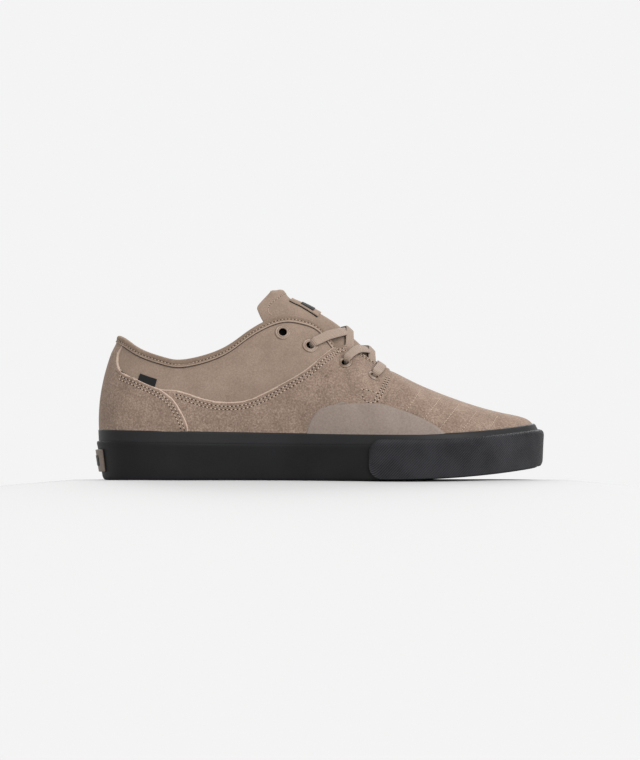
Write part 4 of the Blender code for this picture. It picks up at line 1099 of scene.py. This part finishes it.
def makeCollar():
    u = np.linspace(-collarSizes["end"], collarSizes["end"], 420)
    row, _ = folded(u)
    full = np.interp(row, [0, 4, 6, 7.5, rows], [0.9, 1.0, 0.75, 0.18, 0.18])
    pad = (collarSizes["pad"] * full)[:, None]
    depth = np.maximum(collarSizes["depth"] * full, overlaySizes["band"])
    edge, out = wallPoint(u, 1), wallNormal(u, 1)
    up = edge - wallPoint(u, 0.98)
    up /= np.linalg.norm(up, axis=-1, keepdims=True)

    def inside(distance, more):
        v = vBelowTop(u, distance)
        return wallPoint(u, v) - (last["upperWall"] + 0.2 * mm + more) * wallNormal(u, v)

    def outside(distance, lift):
        v = vBelowTop(u, distance)
        return wallPoint(u, v) + lift * wallNormal(u, v)

    band, wall = overlaySizes["band"], collarSizes["bandWall"]
    ring = [
        # the first two stops lay a thin flange on the upper, painted dark as the shadow under the cuff
        outside(band + 0.75 * mm, 0.06 * mm), outside(band + 0.1 * mm, 0.12 * mm), outside(band, wall * 0.7),
        outside(band - 0.45 * mm, wall * 1.05), outside(band * 0.68, wall * 0.95),
        outside(band * 0.5, wall * 0.8), outside(band * 0.25, wall * 1.15),
        edge + wall * 1.2 * out + 0.3 * collarSizes["roll"] * up,
        edge + wall * 0.55 * out + 0.95 * collarSizes["roll"] * up,
        edge - 0.6 * mm * out + 1.12 * collarSizes["roll"] * up,
        edge + 0.9 * collarSizes["roll"] * up - (last["upperWall"] * 0.8 + 0.3 * pad) * out,
        edge + 0.3 * collarSizes["roll"] * up - (last["upperWall"] + 0.7 * pad) * out,
        inside(0.12 * depth, pad), inside(0.3 * depth, pad * 1.08), inside(0.5 * depth, pad),
        inside(0.72 * depth, 0.8 * pad), inside(0.88 * depth, 0.5 * pad), inside(depth, 0.9 * mm),
        inside(depth, -0.3 * mm), inside(0.5 * depth, -0.3 * mm), edge - 0.5 * mm * out,
    ]
    count = len(ring)
    ring.append(ring[0])
    around = steadyCurve(range(count + 1), np.stack(ring, 0))(np.linspace(0, count, 6 * count + 1))

    def zones(s, t):
        part = t * count  # counted in the ring's stops: painted shadow line under the cuff, cut edge, cuff, lining
        return 3 if part < 1.3 else (2 if part < 3 else (0 if part < 10 else 1))

    finish = [cuffSuede, smoothSuede, cutEdge, cuffShadowPaint]
    piece = gridPiece("collarPad", np.moveaxis(around, 0, 1), finish, zones=zones, close=True)
    stand(piece, "collar_lining", "collar")
    u = np.linspace(-collarSizes["end"] + 0.1, collarSizes["end"] - 0.1, 500)
    sewRow((u, vBelowTop(u, band * 0.52)), wall * 0.85, pitch=2.4, length=1.3, width=0.55)


makeCollar()
print("collar made")


# tongue

tongueRows = (
    # x, topZ, halfWidth, drop, tilt, pad, front, back
    (0.700, 0.386, 0.115, 0.030, 27, 0, 0, 1),
    (0.668, 0.449, 0.140, 0.070, 33, 0, 0, 1),
    (0.640, 0.545, 0.175, 0.180, 42, 0, 0, 1),
    (0.605, 0.690, 0.200, 0.205, 44, 0, 0, 1),
    (0.570, 0.812, 0.222, 0.240, 42, 0.1, 0, 1),
    (0.537, 0.920, 0.236, 0.310, 39, 0.3, 0, 1),
    (0.503, 1.003, 0.232, 0.300, 41, 0.5, 0, 1),
    (0.465, 1.080, 0.224, 0.262, 46, 0.8, 0, 1),
    (0.437, 1.130, 0.222, 0.225, 50, 1, 0, 1),
    (0.4275, 1.166, 0.220, 0.212, 52, 1, 0, 1),
    (0.422, 1.206, 0.216, 0.208, 53, 1, 0.04, 0.98),
    (0.4155, 1.236, 0.212, 0.200, 53, 1, 0.20, 0.90),
    (0.409, 1.254, 0.206, 0.190, 52, 1, 0.44, 0.78),
)
tongueSizes = {
    "pad": 7.6 * mm,
    "skin": 2.4 * mm,
    "labelWidth": 16.8 * mm,
    "labelThickness": 0.9 * mm,
    "labelFront": 0.503,
    "labelBack": 0.4375,
    "seam": ((0, 9.4), (0.5, 9.5), (0.8, 9.48), (0.86, 9.1), (0.88, 8.5), (0.87, 7.9)),  # across, row
    "corner": (10.4, 0.62),  # row where the top corners begin to round off, and how far they do
    "shadowGap": 0.45 * mm,  # black strip along the label's sides, painted as the shadow of the gap under the label
    "plate": (-0.62, 0.16),  # rows from the label's middle to the plate's two ends
    "plateShare": 0.86,  # of the label's width
    "round": (0.85, 0.4),  # powers that make the padded section fuller than an ellipse
    "soft": (1.8, 0.9, 30),  # rows from the end that are worked round, rows of the change, passes
}
tongueTable = np.array(tongueRows, float)
tongueCurve = steadyCurve(range(len(tongueTable)), tongueTable)
tongueEnd = len(tongueTable) - 1.0


def ridgeY(x):
    return last["ballWidth"] * np.interp(shareAlong(x), sectionTable[6:, 3], sectionTable[6:, 6])


def tongueFace(row, across, lift=0.0):  # row runs along the table, across from -1 on the outer side to 1
    row, across = np.broadcast_arrays(np.asarray(row, float), np.asarray(across, float))
    start, deep = tongueSizes["corner"]
    across = across * np.sqrt(1 - deep * np.clip((row - start) / (tongueEnd - start), 0, 1) ** 2)

    def face(r, w):
        x, z, halfWidth, drop, tilt = np.moveaxis(tongueCurve(r), -1, 0)[:5]
        power = np.interp(r, (5.0, 7.0), (2.0, 2.5))  # flatter across the middle where it stands free
        fall = drop * last["ballWidth"] * np.abs(w) ** power
        tilt = np.radians(tilt)
        middle = (x - 0.5) * last["soleLength"]
        high = last["seatHeight"] + z * last["instepRise"]
        side = ridgeY(middle) + halfWidth * last["ballWidth"] * w
        return np.stack([middle - fall * np.sin(tilt), side, high - fall * np.cos(tilt)], -1)

    small = 1e-3
    along = face(np.minimum(row + small, tongueEnd), across) - face(np.maximum(row - small, 0), across)
    normal = np.cross(face(row, across + small) - face(row, across - small), along)
    normal /= np.linalg.norm(normal, axis=-1, keepdims=True)
    return face(row, across) + np.asarray(lift)[..., None] * normal, normal


def tongueRow(x):
    stops = np.linspace(0, tongueEnd, 400)
    return float(np.interp(-x, -tongueCurve(stops)[:, 0], stops))


def tonguePad(row, across):  # thickness of the padded tongue
    return tongueSizes["skin"] + tongueSizes["pad"] * tongueCurve(row)[..., 5] * (1 - across**4)


def makeTongue():
    beyond = np.sin(np.linspace(0, math.pi / 2, 9))[1:]  # rows that close the end
    stops = np.concatenate([np.linspace(0, tongueEnd, 150), tongueEnd + beyond])
    row = np.minimum(stops, tongueEnd)[:, None]
    past = np.clip(stops - tongueEnd, 0, 1)[:, None]
    angle = np.linspace(0, math.tau, 97)[None]
    widthPower, depthPower = tongueSizes["round"]
    across = np.sign(np.cos(angle)) * np.abs(np.cos(angle)) ** widthPower
    front, back = (tongueCurve(row)[..., k] for k in (6, 7))
    thickness = tonguePad(row, across)
    half = thickness * (back - front) / 2
    level = np.sqrt(1 - past**2) * np.sign(np.sin(angle)) * np.abs(np.sin(angle)) ** depthPower
    lift = -thickness * (front + back) / 2 + half * level
    points, normals = tongueFace(row, across, lift)
    ahead = tongueFace(tongueEnd, 0.0)[0] - tongueFace(tongueEnd - 0.1, 0.0)[0]
    ahead /= np.linalg.norm(ahead)
    points = points + (past * half)[..., None] * ahead
    reach, change, passes = tongueSizes["soft"]
    soft = np.clip((stops - (tongueEnd - reach)) / change, 0, 1)[:, None, None]
    for _ in range(passes):  # the padded end is worked round, as foam under leather is
        beside = (np.roll(points[:, :-1], 1, 1) + np.roll(points[:, :-1], -1, 1)) / 2
        beside = np.concatenate([beside, beside[:, :1]], 1)
        along = points.copy()
        along[1:-1] = (points[2:] + points[:-2]) / 2
        points = points + soft * 0.5 * ((beside + along) / 2 - points)

    def zones(s, t):  # lining on the side towards the foot, except at the turned-over end
        return 1 if 0.515 < t < 0.985 and s < 0.89 else 0

    piece = gridPiece("tonguePad", points, [smoothSuede, blackLining], zones=zones, close=True)
    stand(piece, "tongue_suede", "tongue")


def tonguePatch(name, rowsAlong, reach, low, thickness, finish, slot, nodes, edge):
    row, across = np.meshgrid(np.linspace(*rowsAlong, 40), np.linspace(-reach, reach, 40), indexing="ij")
    points, normals = tongueFace(row, across, low)
    piece = gridPiece(name, points, finish, facing=normals)
    thicken(piece, thickness, outward=True, rim=len(finish) - 1)
    roundEdges(piece, edge, steps=3)
    return stand(piece, slot, *nodes)


makeTongue()
labelRows = (tongueRow(tongueSizes["labelFront"]), tongueRow(tongueSizes["labelBack"]))
labelMiddle = sum(labelRows) / 2
labelReach = tongueSizes["labelWidth"] / last["ballWidth"] / 2 / float(tongueCurve(labelMiddle)[2])
shadowGapReach = labelReach * (1 + 2 * tongueSizes["shadowGap"] / tongueSizes["labelWidth"])
# a wider black strip under the label paints the shadow in the gap beneath it
tonguePatch(
    "labelShadowStrip", labelRows, shadowGapReach, 0.1 * mm, 0.4 * mm, [tagWeave, tagWeave], "black_trim", [], 0.2 * mm,
)
tonguePatch(
    "tongueLabel", labelRows, labelReach, 0.4 * mm, tongueSizes["labelThickness"], [smoothSuede, cutEdge],
    "tongue_suede", ["tongue_label"], 0.5 * mm,
)
plateRows = [labelMiddle + end for end in tongueSizes["plate"]]
tonguePatch(
    "tonguePlate", plateRows, labelReach * tongueSizes["plateShare"], 1.3 * mm, 0.5 * mm,
    [tagWeave, tagWeave], "black_trim", ["tongue_plate"], 0.2 * mm,
)


def padTop(row, across):  # how far the padded face lies over the tongue's own curve
    widthPower, depthPower = tongueSizes["round"]
    level = np.sqrt(1 - np.abs(across) ** (2 / widthPower)) ** depthPower
    return tonguePad(row, across) / 2 * (level - 1)


# one stitch row across the tongue's padded end, turning down towards its sides
half = np.array(tongueSizes["seam"])
corners = np.concatenate([half[::-1] * [-1, 1], half[1:]])
run = np.concatenate([[0], np.cumsum(np.hypot(*(np.diff(corners, axis=0) * [23, 9]).T))])
across, row = steadyCurve(run, corners)(np.linspace(0, run[-1], 43)).T
points, normals = tongueFace(row, across, padTop(row, across) + 0.05 * mm)
for k in range(1, 42):
    ahead = points[k + 1] - points[k - 1]
    stitches["tan"].append((points[k], normals[k], ahead, 1.1, 0.55))
    # dark marks between the stitches paint the needle holes' shade
    stitches["hole"].append(((points[k] + points[k + 1]) / 2, normals[k], ahead, 0.7, 0.6))
print("tongue made")


# eyelets and lace

for name, u, v, skinHere in eyeletSpots:
    bore = eyeletSizes["bore"]
    flange = eyeletSizes["panelFlange"] if skinHere else eyeletSizes["quarterFlange"]
    seat = skinHere + 0.05 * mm
    wide = flange - bore
    barrel = bore + 0.55 * mm
    ring = (  # radius and height, from the foot of the closed bore, whose black cup paints the shade down the hole, out over the rolled flange and back in
        (0.0, -2.8 * mm), (barrel, -2.8 * mm), (barrel, seat), (flange, seat),
        (flange + 0.1 * mm, seat + 0.3 * mm), (flange - 0.1 * wide, seat + 0.6 * mm),
        (flange - 0.3 * wide, seat + 0.72 * mm),
        (bore + 0.62 * wide, seat + 0.55 * mm), (bore + 0.5 * wide, seat + 0.5 * mm),
        (bore + 0.4 * wide, seat + 0.8 * mm), (bore + 0.22 * wide, seat + 0.95 * mm),
        (bore + 0.06 * wide, seat + 0.75 * mm), (bore, seat + 0.3 * mm), (bore, -2.4 * mm), (0.0, -2.4 * mm),
    )
    bm = bmesh.new()
    corners = [bm.verts.new((radius, 0, height)) for radius, height in ring]
    edgesHere = [bm.edges.new(pair) for pair in zip(corners, corners[1:] + corners[:1])]
    bmesh.ops.spin(
        bm, geom=corners + edgesHere, angle=math.tau, steps=44,
        axis=(0, 0, 1), cent=(0, 0, 0), use_merge=True,
    )
    bmesh.ops.remove_doubles(bm, verts=bm.verts, dist=0.002 * mm)
    bmesh.ops.recalc_face_normals(bm, faces=bm.faces)
    # faces inside the bore and its closed foot are painted black as the hole's shade
    for face in bm.faces:
        middle = face.calc_center_median()
        if math.hypot(middle.x, middle.y) < bore + 0.05 * mm and middle.z < seat + 0.2 * mm:
            face.material_index = 1
    turn = Vector(wallNormal(u, v)).to_track_quat("Z", "Y").to_matrix().to_4x4()
    bmesh.ops.transform(bm, matrix=Matrix.Translation(Vector(wallPoint(u, v))) @ turn, verts=bm.verts)
    piece = finishPiece(f"eyelet_{name}_ring", bm, [eyeletPaint, eyeletBoreShade], sharp=60)
    stand(piece, "eyelet_metal", f"eyelet_{name}")

laceSizes = {
    "width": 6.5 * mm,
    "thickness": 1.5 * mm,
    "lift": 0.7 * mm,
    "barRow": 13.6,  # place on the loop where the bar passes the throat's edge
    "barX": 0.637,  # share of the length where it crosses the tongue
    "barLift": 0.9 * mm,
    "barAhead": 0.8 * mm,  # its ends lie this far towards the tongue in their eyelets
}


def ribbon(name, stops, nodes, count=90):  # flat lace through stops of point, outward normal, width share
    places = np.array([stop[0] for stop in stops])
    run = runAlong(places)
    at = np.linspace(0, run[-1], count)
    path, out, wide = (steadyCurve(run, np.array([stop[k] for stop in stops]))(at) for k in range(3))
    out /= np.linalg.norm(out, axis=1, keepdims=True)
    side = np.cross(np.gradient(path, axis=0), out)
    side /= np.linalg.norm(side, axis=1, keepdims=True)
    angle = np.linspace(0, math.tau, 25)
    a = np.sign(np.cos(angle)) * np.abs(np.cos(angle)) ** 0.55
    b = np.sign(np.sin(angle)) * np.abs(np.sin(angle)) ** 0.75
    half, thick = laceSizes["width"] / 2, laceSizes["thickness"] / 2
    points = (
        path[:, None]
        + (half * wide)[:, None, None] * a[None, :, None] * side[:, None]
        + (thick / np.sqrt(wide))[:, None, None] * b[None, :, None] * out[:, None]
    )

    def edgeShadeOf(s, t):  # the ribbon's two edges, painted darker as shade
        return min(abs(t - k) for k in (0, 0.5, 1)) < 0.06

    piece = gridPiece(name, points, [laceCotton, laceEdgeShade], zones=edgeShadeOf, close=True)
    return stand(piece, "lace_cotton", *nodes)


def fromEyelet(name, towards, skinHere, off=0.0):  # stops of a lace that comes up through an eyelet
    index = [spot[0] for spot in eyeletSpots].index(name)
    place, axis = (np.array(v) for v in eyeletAxes[index])
    way = np.array(towards) - place
    way -= way @ axis * axis
    way /= np.linalg.norm(way)
    seat = skinHere + 0.8 * mm
    rest = seat + laceSizes["thickness"] / 2
    return [
        (place + way * (1.6 * mm + off) - 2.2 * mm * axis, -way, 0.60),
        (place + way * (1.8 * mm + off) - 0.6 * mm * axis, -way, 0.66),
        (place + way * (2.4 * mm + off) + (seat + 0.1 * mm) * axis, (axis - way) / math.sqrt(2), 0.82),
        (place + way * (3.6 * mm + off) + (rest + 0.3 * mm) * axis, axis, 0.96),
        (place + way * (6.5 * mm + off) + (rest - 0.1 * mm) * axis, axis, 1.0),
    ]


def onWall(u, v, lift, wide=1.0):
    normal = wallNormal(u, v)
    return wallPoint(u, v) + lift * normal, normal, wide


def onTongue(x, across, lift, wide=1.0):
    point, normal = tongueFace(tongueRow(x), across, lift)
    return point, normal, wide


rest = laceSizes["thickness"] / 2 + laceSizes["lift"]
crosses = (
    # name, eyelet, loop place of the edge, skin there, share of length at the crossing and the dive, reach
    ("upper", 2, 10.35, 1.5 * mm, 0.562, 0.580, 0.50),
    ("lower", 3, 12.45, 1.4 * mm, 0.611, 0.624, 0.42),
)
for name, number, edgeRow, skinHere, crossX, diveX, reach in crosses:
    for side, inner, turn in sides:
        edge = onWall(onSide(edgeRow, inner), 0.995, skinHere + rest + 0.5 * mm)
        over = laceSizes["thickness"] * 1.15 if inner else 0.0  # the inner strand crosses over the outer one
        stops = fromEyelet(f"{side}_{number}", edge[0], panelSkin if number > 2 else 0.0)
        stops += [
            edge,
            onTongue(crossX, 0.0, rest + over),
            onTongue(diveX, turn * reach, rest),
            onTongue(diveX + 0.004, turn * (reach + 0.22), rest - 1.4 * mm, 0.9),
        ]
        ribbon(f"lace_{name}_{side}", stops, [f"lace_cross_{name}"] if inner else [])

bar = []
for side, inner, _ in sides:
    edge = onWall(onSide(laceSizes["barRow"], inner), 0.995, panelSkin + laceSizes["barLift"])
    half = [*fromEyelet(f"{side}_4", edge[0], panelSkin, off=laceSizes["barAhead"]), edge]
    bar += half[::-1] if inner else [*half, onTongue(laceSizes["barX"], 0.0, laceSizes["barLift"])]
ribbon("lace_bar_strip", bar, ["lace_bar"], count=140)
print("lace made")


# stitches

toeRows = (
    ((217.3, 60.5), (206.8, 46.0)),
    ((230.7, 55.4), (218.5, 40.4)),
    ((242.4, 50.5), (229.6, 34.5)),
    ((254.6, 46.0), (244.0, 32.8)),
    ((268.5, 42.7), (262.4, 33.8)),
)
for stops in toeRows:
    for _, inner, _ in sides:
        path = sidePath(stops, inner=inner, count=30)
        sewRow(path, 0.02 * mm, pitch=2.2, length=1.7, width=0.5, dark=False)


def makeStitches(name, places, material, height):
    bm = bmesh.new()
    for place, normal, forward, length, width in places:
        scale = Matrix.Diagonal((length * mm / 2, width * mm / 2, height * mm, 1))
        matrix = standing(place, normal, forward) @ scale
        bmesh.ops.create_icosphere(bm, subdivisions=1, radius=1, matrix=matrix)
    return finishPiece(name, bm, [material], sharp=80)


stand(makeStitches("stitchThreads", stitches["tan"], threadTan, 0.3), "upper_suede")
# dark marks that paint the shade in the needle holes
stand(makeStitches("needleHoleShades", stitches["hole"], needleHoleShade, 0.16), "upper_suede")
print("stitches made", len(stitches["tan"]))


# studio

studio = {
    "scale": 0.5095,  # metres that the picture's height spans at the shoe
    "lens": 500.0,
    "centre": (0.0006, 0.0668),
    "pale": "#F4F4F4",
    "fall": math.radians(4.5),  # slope of the floor away from the shoe on all sides
    "level": (0.16, 0.040),  # half length and half width of the level floor under the shoe
    "floor": 40.0,  # half the floor's size
    "suns": (
        # name, direction the light comes from, spread in degrees, strength
        ("keySoftbox", (0.8, -1.05, 0.75), 55, 3.2),
        ("backSoftbox", (-0.1, 0.95, 0.6), 50, 1.5),
    ),
}
slope = Vector((0, -math.sin(studio["fall"]), math.cos(studio["fall"])))
paleness = hexColour(studio["pale"])[0]
sunlight = sum(
    strength / math.pi * Vector(source).normalized().dot(slope) for _, source, _, strength in studio["suns"]
)
floorPaint, _, shader = newMaterial("matt grey floor", 1.0, Specular_IOR_Level=0.0)
shader.inputs["Base Color"].default_value = (*[paleness / (paleness + sunlight)] * 3, 1)
bm = bmesh.new()
bmesh.ops.create_grid(bm, x_segments=90, y_segments=90, size=1)
for vert in bm.verts:
    x, y = (math.copysign(abs(c) ** 5 * studio["floor"], c) for c in vert.co.xy)  # closer rows at the shoe
    away = math.hypot(*(max(abs(c) - flat, 0) for c, flat in zip((x, y), studio["level"])))
    vert.co = (x, y, -math.tan(studio["fall"]) * away)
floor = finishPiece("studioFloor", bm, [floorPaint])

scene = bpy.context.scene
world = bpy.data.worlds.new("studio white")
world.use_nodes = True
world.node_tree.nodes["Background"].inputs["Color"].default_value = hexColour(studio["pale"])
world.node_tree.nodes["Background"].inputs["Strength"].default_value = 1.0
scene.world = world
scene.view_settings.view_transform = "Standard"
scene.view_settings.look = "None"

for name, source, spread, strength in studio["suns"]:
    lamp = bpy.data.lights.new(name, "SUN")
    lamp.angle = math.radians(spread)
    lamp.energy = strength
    holder = bpy.data.objects.new(name, lamp)
    holder.rotation_mode = "QUATERNION"
    holder.rotation_quaternion = (-Vector(source)).to_track_quat("-Z", "Y")
    bpy.context.collection.objects.link(holder)

camera = bpy.data.cameras.new("camera")
camera.lens = studio["lens"]
camera.sensor_width = 36.0
camera.clip_end = 100
distance = studio["scale"] / (camera.sensor_width / camera.lens)
cameraHolder = bpy.data.objects.new("camera", camera)
cameraHolder.location = (studio["centre"][0], -distance, studio["centre"][1])
cameraHolder.rotation_euler = (math.radians(90), 0, 0)
bpy.context.collection.objects.link(cameraHolder)
scene.camera = cameraHolder
